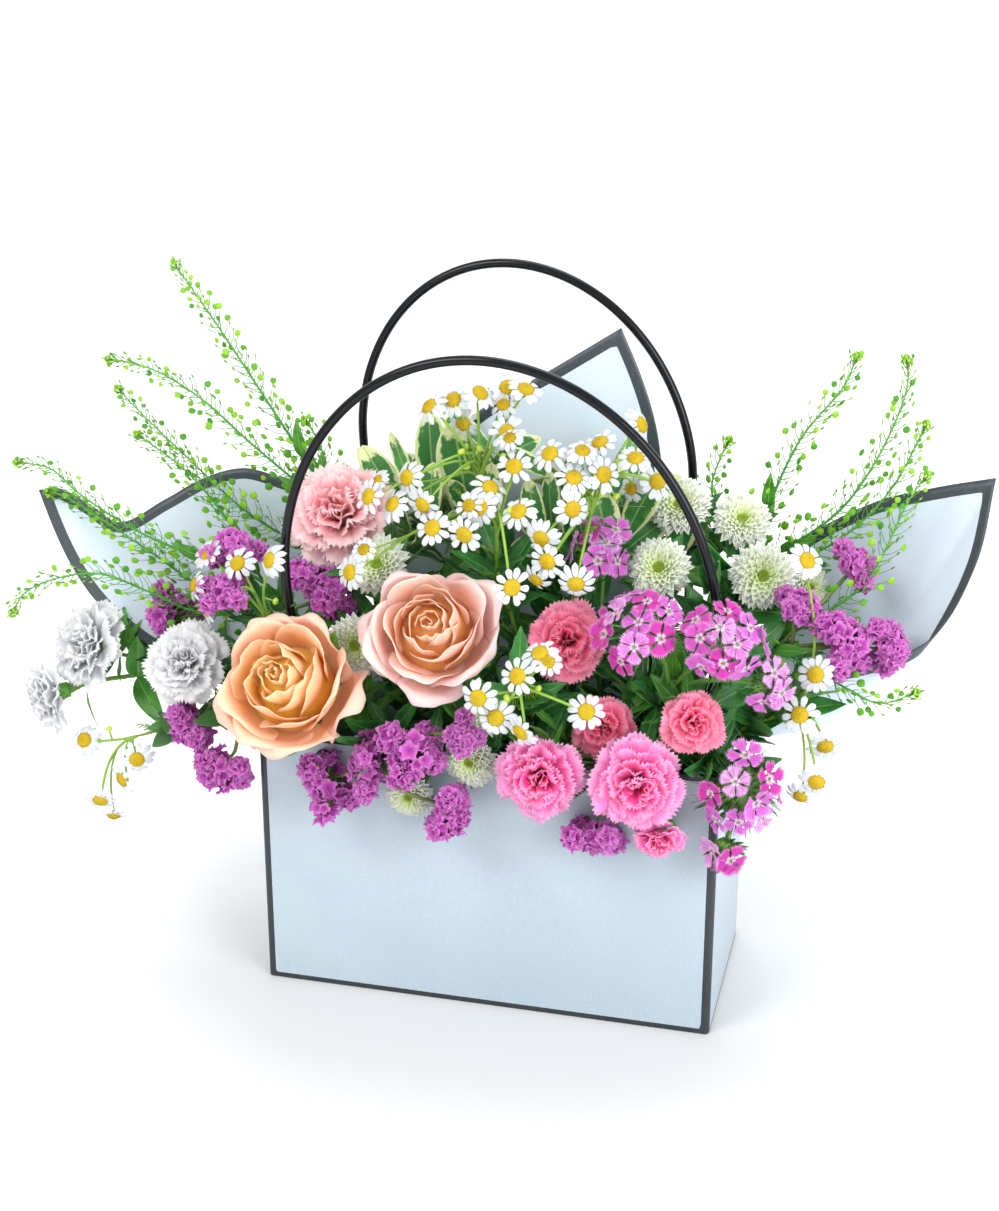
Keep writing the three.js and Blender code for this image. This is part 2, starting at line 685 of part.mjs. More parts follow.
// Each bloom: centre, axis, radius, kind, and the foam hole or the bloom whose stem it branches from.
const BLOOMS = {
  rose_left: {
    at: [-94, -95, 196], axis: [-0.05, -0.8, 0.6],
    size: 41, kind: 'rose', foot: [-72, -38], look: 'roseApricot',
  },
  rose_right: {
    at: [-20, -79, 226], axis: [0.12, -0.84, 0.53],
    size: 38, kind: 'rose', foot: [-22, -20], look: 'roseBlush',
  },
  carnation_front_left: {
    at: [38, -86, 154], axis: [0.08, -1, 0],
    size: 25, kind: 'carnation', foot: [36, -40], look: 'pink',
  },
  carnation_front_right: {
    at: [88, -88, 156], axis: [0.15, -1, 0],
    size: 25, kind: 'carnation', on: 'carnation_front_left', look: 'pink',
  },
  carnation_low: {
    at: [98, -77, 123], axis: [0.1, -0.85, -0.5],
    size: 16, kind: 'smallCarnation', on: 'carnation_front_left', up: [0, 0.05, 1], look: 'pink',
  },
  carnation_mid_right: {
    at: [113, -76, 187], axis: [0.35, -0.9, 0.15],
    size: 18, kind: 'smallCarnation', foot: [82, -36], look: 'pink',
  },
  carnation_mid_left: {
    at: [66, -62, 174], axis: [0, -0.95, 0.3],
    size: 19, kind: 'smallCarnation', on: 'carnation_mid_right', look: 'pink',
  },
  carnation_coral: {
    at: [44, -52, 215], axis: [0.1, -0.9, 0.4],
    size: 23, kind: 'smallCarnation', on: 'carnation_mid_right', look: 'pink',
  },
  carnation_blush: {
    at: [-90, -14, 263], axis: [-0.1, -0.75, 0.65],
    size: 31, kind: 'carnation', foot: [-52, 8], look: 'blush',
  },
  carnation_white_upper: {
    at: [-236, -30, 179], axis: [-0.45, -0.75, 0.45],
    size: 23, kind: 'smallCarnation', foot: [-98, -32], look: 'white',
  },
  carnation_white_lower: {
    at: [-259, -38, 150], axis: [-0.75, -0.6, -0.15],
    size: 19, kind: 'smallCarnation', on: 'carnation_white_upper', look: 'white',
  },
  carnation_white_near: {
    at: [-167, -52, 183], axis: [0.05, -0.8, 0.6],
    size: 22, kind: 'smallCarnation', on: 'carnation_white_upper', look: 'white',
  },
  mum_top_left: {
    at: [91, 4, 274], axis: [-0.1, -0.7, 0.7],
    size: 18, kind: 'smallMum', foot: [62, 14], look: 'mum',
  },
  mum_top_right: {
    at: [124, 0, 270], axis: [0.15, -0.75, 0.65],
    size: 16.5, kind: 'smallMum', on: 'mum_top_left', look: 'mum',
  },
  mum_right: {
    at: [138, -20, 247], axis: [0.2, -0.9, 0.4],
    size: 19, kind: 'smallMum', foot: [90, 2], look: 'mum',
  },
  mum_far_right: {
    at: [160, -6, 238], axis: [0.6, -0.75, 0.3],
    size: 14, kind: 'smallMum', on: 'mum_right', look: 'mum',
  },
  mum_centre: {
    at: [86, -26, 249], axis: [0, -0.85, 0.5],
    size: 18, kind: 'mum', on: 'mum_right', look: 'mum',
  },
  mum_behind_rose: {
    at: [-61, -38, 243], axis: [-0.05, -0.85, 0.5],
    size: 18, kind: 'mum', foot: [-50, -14], look: 'mum',
  },
  mum_between_roses: {
    at: [-68, -56, 204], axis: [0.05, -1, 0.2],
    size: 18, kind: 'smallMum', on: 'mum_behind_rose', look: 'mum',
  },
  mum_under_rose: {
    at: [5, -66, 178], axis: [0, -0.9, 0.4],
    size: 14, kind: 'smallMum', foot: [8, -38], look: 'mum',
  },
  mum_front: {
    at: [-2, -72, 152], axis: [-0.1, -1, -0.05],
    size: 16, kind: 'smallMum', on: 'mum_under_rose', look: 'mum',
  },
  mum_low: {
    at: [-36, -70, 128], axis: [0, -1, -0.25],
    size: 15, kind: 'smallMum', on: 'mum_under_rose', up: [0.2, 0.05, 1], look: 'mum',
  },
};

const KINDS = {
  carnation: CARNATION,
  smallCarnation: SMALL_CARNATION,
  mum: MUM,
  smallMum: SMALL_MUM,
};

const bloomDepth = { rose: 0.55, carnation: 0.42, smallCarnation: 0.42, mum: 0.34, smallMum: 0.34 };

function makeBlooms() {
  for (const [name, bloom] of Object.entries(BLOOMS)) {
    const place = seat(bloom.at, bloom.axis, bloom.at[0] * 0.1);
    const kind = KINDS[bloom.kind];
    const part = bloom.kind === 'rose' ? rose(bloom.size, place) : {
      solid: ringBloom(kind.rows, kind.petals, bloom.size, place),
      keep: ringKeep(kind.keep, bloom.size, place),
    };
    finish(name, [part], LOOKS[bloom.look]);
  }
}

// A stem starts just under its bloom with a straight calyx, and thins to its own radius.
const STEMS = {
  rose: { root: 0.69, calyx: 6.5, calyxLength: 7, radius: 2.6 },
  carnation: { root: 0.52, calyx: 5.4, calyxLength: 11, radius: 1.7 },
  smallCarnation: { root: 0.52, calyx: 4.2, calyxLength: 9, radius: 1.4 },
  mum: { root: 0.36, calyx: 4, calyxLength: 3, radius: 1.5 },
  smallMum: { root: 0.36, calyx: 3.4, calyxLength: 3, radius: 1.4 },
};
const STEM_SIDES = 3;

function makeStems() {
  const sprays = new Map();
  for (const [name, bloom] of Object.entries(BLOOMS)) {
    const stem = STEMS[bloom.kind];
    const axis = V(...bloom.axis).normalize();
    const root = V(...bloom.at).addScaledVector(axis, -stem.root * bloom.size - SLACK - 0.05);
    const neck = root.clone().addScaledVector(axis, -stem.calyxLength);
    const away = bloom.up ? V(...bloom.up).normalize() : axis.clone().negate();
    const base = sprays.get(bloom.on);
    const feet = base ? stemFeet(base.path) : foamFeet(...bloom.foot);
    const curve = threadStem(neck, away, feet, stem.radius, name);
    const path = [root, ...curve];
    const whole = base ? path : inFoam(path);
    const part = stemPart(whole, (t) => (t < 0.01 ? stem.calyx : stem.radius), STEM_SIDES);
    if (base) base.parts.push(part);
    else sprays.set(name, { path: curve, parts: [part] });
    blockStem(name, whole, stem.radius);
  }
  for (const [name, spray] of sprays) finish(`${name}_stem`, spray.parts, LOOKS.stem);
}

// ---------------------------------------------------------------- sprays

// A repeatable draw from 0 to 1 for the n-th small thing of a spray.
function draw(n, salt = 0) {
  const value = Math.sin(n * 127.1 + salt * 311.7) * 43758.5453;
  return value - Math.floor(value);
}

// Where a stalk leaves its main stem for a head: some way back from the nearest point, or right there for
// a head that hangs lower.
function branchPoint(curve, head) {
  const samples = 40;
  let nearest = 0;
  for (let k = 1; k <= samples; k++) {
    const [here, best] = [curve.getPointAt(k / samples), curve.getPointAt(nearest / samples)];
    if (here.distanceTo(head) < best.distanceTo(head)) nearest = k;
  }
  const nearPoint = curve.getPointAt(nearest / samples);
  const away = nearPoint.distanceTo(head);
  const stepBack = head.z > nearPoint.z ? 0.6 * away : 0;
  const t = Math.max(0.15, nearest / samples - stepBack / curve.getLength());
  return { point: curve.getPointAt(t), along: curve.getTangentAt(t) };
}

function stalkPath(curve, head, steps) {
  const { point, along } = branchPoint(curve, head);
  const bend = point.clone().addScaledVector(along, 0.45 * point.distanceTo(head));
  return new THREE.QuadraticBezierCurve3(point, bend, head).getPoints(steps);
}

// A main stem of a spray, from its foot in the foam along its waypoints.
function mainStem(name, { stem, radius }, steps = 6, sides = 3) {
  const points = new THREE.CatmullRomCurve3(vectors(stem), false, 'centripetal').getSpacedPoints(steps);
  const curve = new THREE.CurvePath();
  for (let k = 1; k < points.length; k++) curve.add(new THREE.LineCurve3(points[k - 1], points[k]));
  const path = inFoam([...points].reverse());
  const radiusAt = (t) => mix(radius * 0.7, radius * 1.1, t);
  blockStem(name, path, radius);
  return { curve, part: stemPart(path, radiusAt, sides), path };
}

const DAISY = { shiftToRoot: 0.25, rings: [{ r: 1, z: 0, notch: 0.5 }, { z: 0.34 }] };
const DAISY_RADIUS = 10.5;
const DAISY_PETALS = 6;

const CHAMOMILES = {
  chamomile_top: {
    stem: [[-6, 12, 143], [-12, 2, 200], [-14, -14, 255], [-9, -24, 300]],
    radius: 1.3,
    heads: [
      [-32, -35, 328], [-21, -30, 331], [-8, -30, 335], [5, -22, 337], [16, -30, 338], [9, -38, 318],
      [-39, -52, 295], [-45, -58, 282], [-28, -62, 285], [-57, -60, 286], [-66, -66, 247],
    ],
  },
  chamomile_middle: {
    stem: [[8, -4, 143], [8, -14, 200], [2, -30, 240], [6, -48, 275]],
    radius: 1.3,
    heads: [
      [-21, -70, 275], [-4, -72, 274], [1, -62, 285], [4, -55, 293], [16, -52, 304], [22, -66, 285],
      [26, -98, 257],
    ],
  },
  chamomile_right: {
    stem: [[32, 2, 143], [36, -8, 200], [44, -24, 250], [54, -32, 290]],
    radius: 1.3,
    heads: [
      [33, -46, 310], [46, -52, 300], [47, -60, 287], [35, -72, 275], [40, -80, 266], [54, -80, 256],
      [55, -30, 313], [59, -44, 301], [73, -30, 306], [71, -10, 319], [81, -10, 290],
    ],
  },
  chamomile_front: {
    stem: [[22, -32, 143], [25, -50, 172], [27, -78, 192], [30, -96, 204]],
    radius: 1.1,
    heads: [
      [42, -104, 226], [33, -112, 217], [14, -114, 205], [21, -108, 193], [35, -112, 189], [64, -100, 197],
    ],
  },
  chamomile_left: {
    stem: [[-86, -24, 143], [-100, -34, 180], [-120, -44, 208], [-128, -46, 224]],
    radius: 1.1,
    heads: [[-107, -72, 252], [-153, -50, 215], [-136, -46, 240], [-158, -34, 240]],
  },
  chamomile_far_right: {
    stem: [[110, -24, 143], [130, -32, 166], [154, -38, 182], [166, -42, 205]],
    radius: 1.1,
    heads: [[161, -44, 264], [170, -56, 210], [164, -66, 192], [176, -50, 171], [174, -66, 158]],
  },
  chamomile_low_left: {
    stem: [[-106, -34, 143], [-126, -42, 158], [-166, -44, 146], [-200, -50, 136]],
    radius: 1.1,
    heads: [[-232, -50, 130], [-220, -60, 100], [-205, -60, 114], [-195, -62, 128]],
  },
};

function makeChamomile(name, spray, salt) {
  const { curve, part } = mainStem(name, spray);
  const parts = [part];
  spray.heads.forEach((at, n) => {
    const head = V(...at);
    const outward = head.clone().sub(branchPoint(curve, head).point).normalize();
    const axis = outward.multiplyScalar(0.7).add(V(draw(n, salt) - 0.5, -0.75, 0.35)).normalize();
    const root = head.clone().addScaledVector(axis, -DAISY.shiftToRoot * DAISY_RADIUS);
    const path = stalkPath(curve, root, 1);
    blockStem(name, [...path, head], 1);
    blockBloom(name, at, axis.toArray(), DAISY_RADIUS, 4);
    const args = [path, axis, DAISY, DAISY_PETALS, DAISY_RADIUS, 0.8];
    parts.push({ solid: stalkedBloom(...args), keep: stalkedBloom(...args, SLACK) });
  });
  finish(name, parts, LOOKS.daisy);
}

// A raceme: a thin axis whose whorls of pods reach out and forwards, shorter towards its tip.
const RACEME = { axis: 0.85, whorlEvery: 23, pods: 3, reach: [10, 4], forward: 6, thick: 2.6 };

function raceme(curve, extra) {
  const whorls = Math.max(3, Math.round(curve.getLength() / RACEME.whorlEvery));
  const length = curve.getLength();
  const path = [];
  const rows = [];
  const add = (distance, row) => {
    path.push(curve.getPointAt(THREE.MathUtils.clamp(distance / length, 0, 1)));
    rows.push(row);
  };
  add(0, { radius: RACEME.axis });
  for (let k = 0; k < whorls; k++) {
    const at = length * mix(0.12, 0.97, k / (whorls - 1));
    const reach = mix(...RACEME.reach, k / (whorls - 1));
    const half = RACEME.thick / 2 + extra;
    add(at - half, { radius: RACEME.axis });
    for (const shift of extra > 0 ? [-extra, extra] : [0]) {
      add(at + shift, { radius: reach, star: true, spin: k });
    }
    add(at + half, { radius: RACEME.axis });
  }
  const frames = framesAlong(path);
  return loft(rows.map(({ radius, star, spin }, k) =>
    Array.from({ length: (star ? 2 : 1) * RACEME.pods }, (_, i) => {
      const isPod = star && (i + spin) % 2 === 0;
      const out = (star && !isPod ? RACEME.axis * 1.1 : radius) + extra;
      const turn = (2 * Math.PI * i) / ((star ? 2 : 1) * RACEME.pods);
      return around(frames[k], turn, out, isPod ? RACEME.forward : 0);
    })));
}

const PENNYCRESSES = {
  pennycress_left_high: {
    stem: [[-66, 34, 143], [-80, 30, 200], [-100, 24, 250], [-112, 18, 266]],
    radius: 1.4,
    racemes: [
      [[-108, 19, 262], [-149, 30, 315], [-180, 40, 353], [-209, 48, 387]],
      [[-104, 22, 256], [-117, 30, 290], [-127, 34, 302]],
      [[-96, 25, 242], [-150, 14, 290], [-182, 20, 313], [-214, 26, 327], [-247, 30, 331]],
    ],
  },
  pennycress_left_low: {
    stem: [[-98, 8, 143], [-112, 4, 180], [-134, -4, 212], [-150, -8, 224]],
    radius: 1.4,
    racemes: [
      [[-140, -5, 218], [-164, 4, 250], [-190, 12, 273], [-225, 20, 292]],
      [[-146, -7, 222], [-203, -12, 240], [-246, -8, 261], [-264, -6, 274], [-290, -5, 276]],
      [
        [-128, -2, 206], [-171, -22, 202], [-196, -30, 214], [-223, -40, 226], [-263, -46, 214],
        [-274, -48, 196],
      ],
    ],
  },
  pennycress_right_high: {
    stem: [[96, 30, 143], [104, 26, 190], [122, 24, 232], [130, 22, 256]],
    radius: 1.4,
    racemes: [
      [[128, 22, 252], [149, 30, 307], [170, 38, 336], [175, 42, 353]],
      [[124, 23, 240], [104, 30, 276], [112, 32, 306]],
      [[122, 24, 234], [175, 14, 278], [201, 30, 336], [199, 34, 356]],
      [[118, 24, 226], [174, 6, 262], [197, 14, 287], [214, 22, 325]],
    ],
  },
  pennycress_right_low: {
    stem: [[108, -2, 143], [117, -10, 175], [132, -22, 206], [146, -26, 220]],
    radius: 1.4,
    racemes: [
      [[141, -25, 216], [186, -14, 242], [208, -2, 289], [217, 0, 303]],
      [[134, -22, 208], [150, -34, 212], [186, -44, 199], [201, -46, 194], [221, -44, 202]],
    ],
  },
};

function makePennycress(name, spray) {
  const { part } = mainStem(name, spray);
  const parts = [part];
  for (const points of spray.racemes) {
    const curve = new THREE.CatmullRomCurve3(vectors(points), false, 'centripetal');
    blockStem(name, curve.getPoints(8), 2);
    parts.push({ solid: raceme(curve, 0), keep: raceme(curve, SLACK * 1.5) });
  }
  finish(name, parts, LOOKS.pennycress);
}

const STATICE = {
  shiftToRoot: 0.9,
  rings: [
    { r: 1, z: -0.05, notch: 0.45, wave: 0.1, odd: true },
    { r: 0.42, z: 0.2 },
    { r: 0.72, z: 0.7, notch: 0.5, wave: 0.08 },
    { z: 0.75 },
  ],
};
const STATICE_PETALS = 6;

// Clusters: centre, radius.
const STATICES = {
  statice_left: {
    stem: [[-98, -20, 143], [-112, -34, 160], [-128, -40, 174], [-136, -34, 196], [-142, -32, 218]],
    radius: 1.4,
    clusters: [
      [[-147, -26, 243], 12], [[-144, -48, 224], 11], [[-190, -14, 194], 15], [[-93, -34, 226], 15],
      [[-163, -62, 150], 12], [[-142, -68, 130], 14],
    ],
  },
  statice_front: {
    stem: [[-52, -40, 143], [-52, -48, 153], [-50, -66, 155], [-46, -80, 147]],
    radius: 1.2,
    clusters: [
      [[-80, -72, 132], 15], [[-55, -80, 146], 12], [[-28, -88, 160], 14], [[-10, -83, 126], 13],
      [[0, -90, 174], 8],
    ],
  },
  statice_low: {
    stem: [[62, -42, 143], [63, -50, 153], [64, -60, 153], [65, -64, 140]],
    radius: 1,
    clusters: [[[65, -72, 117], 12]],
  },
  statice_right: {
    stem: [[102, -14, 143], [114, -24, 172], [138, -32, 204], [158, -30, 214]],
    radius: 1.3,
    clusters: [
      [[160, -36, 237], 11], [[182, -36, 220], 14], [[204, -30, 219], 11], [[184, -6, 252], 10],
    ],
  },
};

function makeStatice(name, spray) {
  const { curve, part } = mainStem(name, spray, 5);
  const parts = [part];
  for (const [at, size] of spray.clusters) {
    const centre = V(...at);
    const axis = centre.clone().sub(branchPoint(curve, centre).point).normalize();
    const root = centre.clone().addScaledVector(axis, -STATICE.shiftToRoot * size);
    const path = stalkPath(curve, root, 2);
    blockStem(name, path, 1.2);
    blockBloom(name, at, axis.toArray(), size * 0.8, size * 0.8);
    const args = [path, axis, STATICE, STATICE_PETALS, size, 1.1];
    parts.push({ solid: stalkedBloom(...args), keep: stalkedBloom(...args, SLACK) });
  }
  finish(name, parts, LOOKS.statice);
}

// Sweet william: flat five-petalled florets over a green cushion.
const FLORET = {
  shiftToRoot: 0.2,
  rings: [{ r: 1, z: 0.12, notch: 0.4 }, { z: -0.12 }],
  petals: 5,
  tube: 12,
};
const FLORET_RADIUS = 8.5;
const CUSHION = { shiftToRoot: 0.6, rings: [{ r: 0.5, z: -0.35 }, { r: 0.62, z: 0.05 }, { z: 0.45 }] };
const CUSHION_SIDES = 6;

const SWEET_WILLIAMS = {
  sweet_william_upper: {
    stem: [[82, -26, 143], [90, -40, 175], [100, -56, 200]],
    radius: 1.6,
    heads: [
      { at: [87, -78, 233], axis: [-0.3, -0.8, 0.55], size: 22, florets: 7 },
      { at: [126, -82, 230], axis: [0.35, -0.8, 0.5], size: 21, florets: 7 },
      { at: [147, -78, 211], axis: [0.75, -0.6, 0.1], size: 13, florets: 2 },
    ],
  },
  sweet_william_top: {
    stem: [[52, -6, 143], [54, -16, 200], [56, -22, 242]],
    radius: 1.4,
    heads: [{ at: [56, -28, 256], axis: [0, -0.7, 0.7], size: 17, florets: 4 }],
  },
  sweet_william_corner: {
    stem: [[104, -40, 143], [110, -50, 157], [122, -62, 160], [130, -66, 152]],
    radius: 1.4,
    heads: [
      { at: [137, -72, 152], axis: [0.3, -0.95, 0.1], size: 23, florets: 7 },
      { at: [131, -70, 118], axis: [0, -0.9, -0.5], size: 11, florets: 1 },
    ],
  },
};

const GOLDEN_ANGLE = Math.PI * (3 - Math.sqrt(5));

function makeSweetWilliam(name, spray) {
  const { curve, part } = mainStem(name, spray, 5);
  const parts = [part];
  for (const { at, axis, size, florets } of spray.heads) {
    const up = V(...axis).normalize();
    const root = V(...at).addScaledVector(up, -CUSHION.shiftToRoot * size);
    const path = stalkPath(curve, root, 2);
    blockStem(name, path, 1.3);
    blockBloom(name, at, axis, size, size * 0.7);
    const args = [path, up, CUSHION, CUSHION_SIDES, size, 1.2];
    parts.push({ solid: stalkedBloom(...args), keep: stalkedBloom(...args, SLACK) });
    const place = seat(at, axis);
    for (let n = 0; n < florets; n++) {
      const tilt = 1.25 * Math.sqrt((n + 0.3) / florets);
      const turn = n * GOLDEN_ANGLE;
      const out = V(Math.sin(tilt) * Math.cos(turn), Math.sin(tilt) * Math.sin(turn), Math.cos(tilt));
      const centre = out.clone().multiply(V(size - 4, size - 4, size * 0.7)).applyMatrix4(place);
      const outward = out.transformDirection(place);
      const tube = [centre.clone().addScaledVector(outward, -FLORET.tube), centre];
      const floret = [tube, outward, FLORET, FLORET.petals, FLORET_RADIUS, 0.9];
      parts.push({ solid: stalkedBloom(...floret), keep: stalkedBloom(...floret, 2 * SLACK) });
    }
  }
  finish(name, parts, LOOKS.lilac);
}

// ---------------------------------------------------------------- leafy twigs

// A leaf is a flat diamond section drawn along its midrib: base, widest part, shoulder and tip.
const LEAF_STATIONS = [[0, 0.12], [0.3, 0.8], [0.62, 1], [1, 0.06]];

function leaf(base, direction, face, length, width, thickness, extra = 0) {
  const along = direction.clone().normalize();
  const across = along.clone().cross(face).normalize();
  const up = across.clone().cross(along).normalize();
  const rings = LEAF_STATIONS.map(([t, w]) => {
    const centre = base.clone().addScaledVector(along, t * length).addScaledVector(up, 5 * t * (0.4 - t));
    const halfWidth = (w * width) / 2 + extra;
    const halfThickness = (thickness * mix(1, w, 0.5)) / 2 + extra;
    return [
      centre.clone().addScaledVector(across, halfWidth),
      centre.clone().addScaledVector(up, halfThickness),
      centre.clone().addScaledVector(across, -halfWidth),
      centre.clone().addScaledVector(up, -halfThickness),
    ];
  });
  return loft(rings);
}

const TWIGS = {
  pittosporum_left: {
    stem: [[-34, 26, 143], [-36, 24, 220], [-34, 16, 285]],
    radius: 1.5,
    leaves: 7,
    from: 0.62,
    size: [40, 17],
  },
  pittosporum_right: {
    stem: [[36, 26, 143], [38, 26, 220], [42, 18, 272]],
    radius: 1.5,
    leaves: 5,
    from: 0.6,
    size: [38, 16],
  },
};

function makeTwig(name, twig) {
  const { curve, part } = mainStem(name, twig, 6);
  const parts = [part];
  for (let n = 0; n < twig.leaves; n++) {
    const t = mix(twig.from, 0.99, n / (twig.leaves - 1));
    const turn = n * GOLDEN_ANGLE;
    const along = curve.getTangentAt(t);
    const out = V(Math.cos(turn), Math.sin(turn), 0);
    const direction = out.clone().addScaledVector(along, 1.1);
    const [length, width] = twig.size;
    const scale = mix(0.85, 1.05, draw(n, 3));
    const args = [curve.getPointAt(t), direction, along.clone().sub(out), length * scale, width * scale, 1.6];
    parts.push({ solid: leaf(...args), keep: leaf(...args, SLACK * 1.4) });
  }
  finish(name, parts, LOOKS.pittosporum);
}

// ---------------------------------------------------------------- put together

makeHandle('handle_front', FRONT_HOOP, -1);
makeHandle('handle_back', BACK_HOOP, 1);
makeBag();
makeLiner();
makePapers();
blockPapers();
blockStem('handle_front', hoopPath(FRONT_HOOP, -1), HANDLE.radius);
blockStem('handle_back', hoopPath(BACK_HOOP, 1), HANDLE.radius);
for (const [name, bloom] of Object.entries(BLOOMS)) {
  blockBloom(name, bloom.at, bloom.axis, bloom.size, bloomDepth[bloom.kind] * bloom.size);
}
Object.entries(PENNYCRESSES).forEach(([name, spray]) => makePennycress(name, spray));
Object.entries(CHAMOMILES).forEach(([name, spray], n) => makeChamomile(name, spray, n));
makeBlooms();
Object.entries(STATICES).forEach(([name, spray]) => makeStatice(name, spray));
Object.entries(SWEET_WILLIAMS).forEach(([name, spray]) => makeSweetWilliam(name, spray));
Object.entries(TWIGS).forEach(([name, twig]) => makeTwig(name, twig));
makeStems();
makeFoam();

// Each piece is placed at the middle of its own box.
function toMesh({ name, body, look: [color, roughness] }) {
  const { vertProperties, triVerts } = body.getMesh();
  const geometry = new THREE.BufferGeometry();
  geometry.setAttribute('position', new THREE.BufferAttribute(new Float32Array(vertProperties), 3));
  geometry.setIndex(new THREE.BufferAttribute(new Uint32Array(triVerts), 1));
  geometry.computeBoundingBox();
  const middle = geometry.boundingBox.getCenter(V(0, 0, 0));
  geometry.translate(-middle.x, -middle.y, -middle.z);
  const material = new THREE.MeshStandardMaterial({ color, roughness, metalness: 0 });
  const mesh = new THREE.Mesh(geometry, material);
  mesh.name = name;
  mesh.position.copy(middle);
  return mesh;
}

const arrangement = new THREE.Group();
for (const piece of finished) arrangement.add(toMesh(piece));

export default arrangement;
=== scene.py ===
"""A flower arrangement in a low rectangular gift bag with two hoop handles.

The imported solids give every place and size. Each flower, sheet, handle and stem is rebuilt here as a fine
mesh in the place of its solid, from the same measurements in millimetres, and gets a procedural material.
"""

import math

import bpy
import numpy as np
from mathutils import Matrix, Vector


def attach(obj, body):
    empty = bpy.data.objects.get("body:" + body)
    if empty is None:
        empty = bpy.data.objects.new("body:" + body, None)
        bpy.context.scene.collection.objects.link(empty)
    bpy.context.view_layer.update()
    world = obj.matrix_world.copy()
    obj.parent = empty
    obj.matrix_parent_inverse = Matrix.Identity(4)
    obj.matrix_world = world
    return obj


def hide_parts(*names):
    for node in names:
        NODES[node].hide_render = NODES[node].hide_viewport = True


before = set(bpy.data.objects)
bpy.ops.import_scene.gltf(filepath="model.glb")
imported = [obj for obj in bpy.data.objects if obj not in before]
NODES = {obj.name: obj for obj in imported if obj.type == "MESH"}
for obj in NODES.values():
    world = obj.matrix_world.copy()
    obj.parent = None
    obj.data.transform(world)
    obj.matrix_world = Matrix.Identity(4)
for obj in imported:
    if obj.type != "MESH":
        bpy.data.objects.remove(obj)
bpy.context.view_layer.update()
MM = 0.001
GOLDEN = math.pi * (3 - math.sqrt(5))

# ---------------------------------------------------------------- small maths


def vec(*p):
    return np.array(p, float)


def unit(v):
    return v / (np.linalg.norm(v) + 1e-12)


def mix(a, b, t):
    return a + (b - a) * t


def smoothstep(a, b, x):
    t = np.clip((x - a) / (b - a), 0, 1)
    return t * t * (3 - 2 * t)


def rng(name, salt=0):
    """A repeatable random generator for a named piece."""
    return np.random.default_rng([salt] + [ord(c) for c in name])


def draw(n, salt):
    """A repeatable draw from 0 to 1, the same as the solids use."""
    value = math.sin(n * 127.1 + salt * 311.7) * 43758.5453
    return value - math.floor(value)


def around(a, z=0.0, reach=1.0, place=None):
    """A direction at an angle round the Z axis, or round that of a place."""
    out = vec(reach * math.cos(a), reach * math.sin(a), z)
    return out if place is None else place[:3, :3] @ out


def ahead(point, way, *steps):
    """Points at some steps from a point along a way."""
    return [point + way * step for step in steps]


def any_turn(r, count=None):
    """A drawn angle anywhere round, or several."""
    return r.uniform(0, 6.3, count)


def seat(centre, axis, spin=0.0):
    """A 4x4 place: local +Z turned to an axis by the shortest arc, then spun about it."""
    z = unit(vec(*axis))
    cross = np.cross(vec(0, 0, 1), z)
    s, c = np.linalg.norm(cross), z[2]
    k = unit(cross) if s > 1e-9 else vec(1, 0, 0)
    skew = np.array([[0, -k[2], k[1]], [k[2], 0, -k[0]], [-k[1], k[0], 0]])
    turn = np.eye(3) + s * skew + (1 - c) * skew @ skew
    cos, sin = math.cos(spin), math.sin(spin)
    spun = np.array([[cos, -sin, 0], [sin, cos, 0], [0, 0, 1]])
    place = np.eye(4)
    place[:3, :3] = turn @ spun
    place[:3, 3] = centre
    return place


def facing(centre, axis, up=(0, 0, 1)):
    """A 4x4 place with local +Z along an axis and local +Y as near to `up` as it goes."""
    z = unit(vec(*axis))
    y = vec(*up) - z * np.dot(up, z)
    y = unit(y) if np.linalg.norm(y) > 1e-6 else unit(np.cross(z, vec(1, 0, 0)))
    place = np.eye(4)
    place[:3, 0], place[:3, 1], place[:3, 2], place[:3, 3] = np.cross(y, z), y, z, centre
    return place


def put(points, place):
    """Points (..., 3) moved by a 4x4 place."""
    return points @ place[:3, :3].T + place[:3, 3]


class Chain:
    """Straight segments between points, as a curve by length."""

    def __init__(self, points):
        self.xyz = np.array(points, float)
        self.s = np.concatenate([[0], np.cumsum(np.linalg.norm(np.diff(self.xyz, axis=0), axis=1))])
        self.length = self.s[-1]

    def at(self, u):
        """The point at a share u of the length."""
        s = np.clip(u, 0, 1) * self.length
        return np.stack([np.interp(s, self.s, self.xyz[:, k]) for k in range(3)], -1)

    def along(self, u):
        """The direction at a share u of the length."""
        s = min(max(u, 0), 1) * self.length
        i = min(np.searchsorted(self.s, s, "right") - 1, len(self.xyz) - 2)
        return unit(self.xyz[i + 1] - self.xyz[i])

    def here(self, u):
        return self.at(u), self.along(u)

    def spaced(self, steps):
        """Points at equal steps of length."""
        return self.at(np.linspace(0, 1, steps + 1))


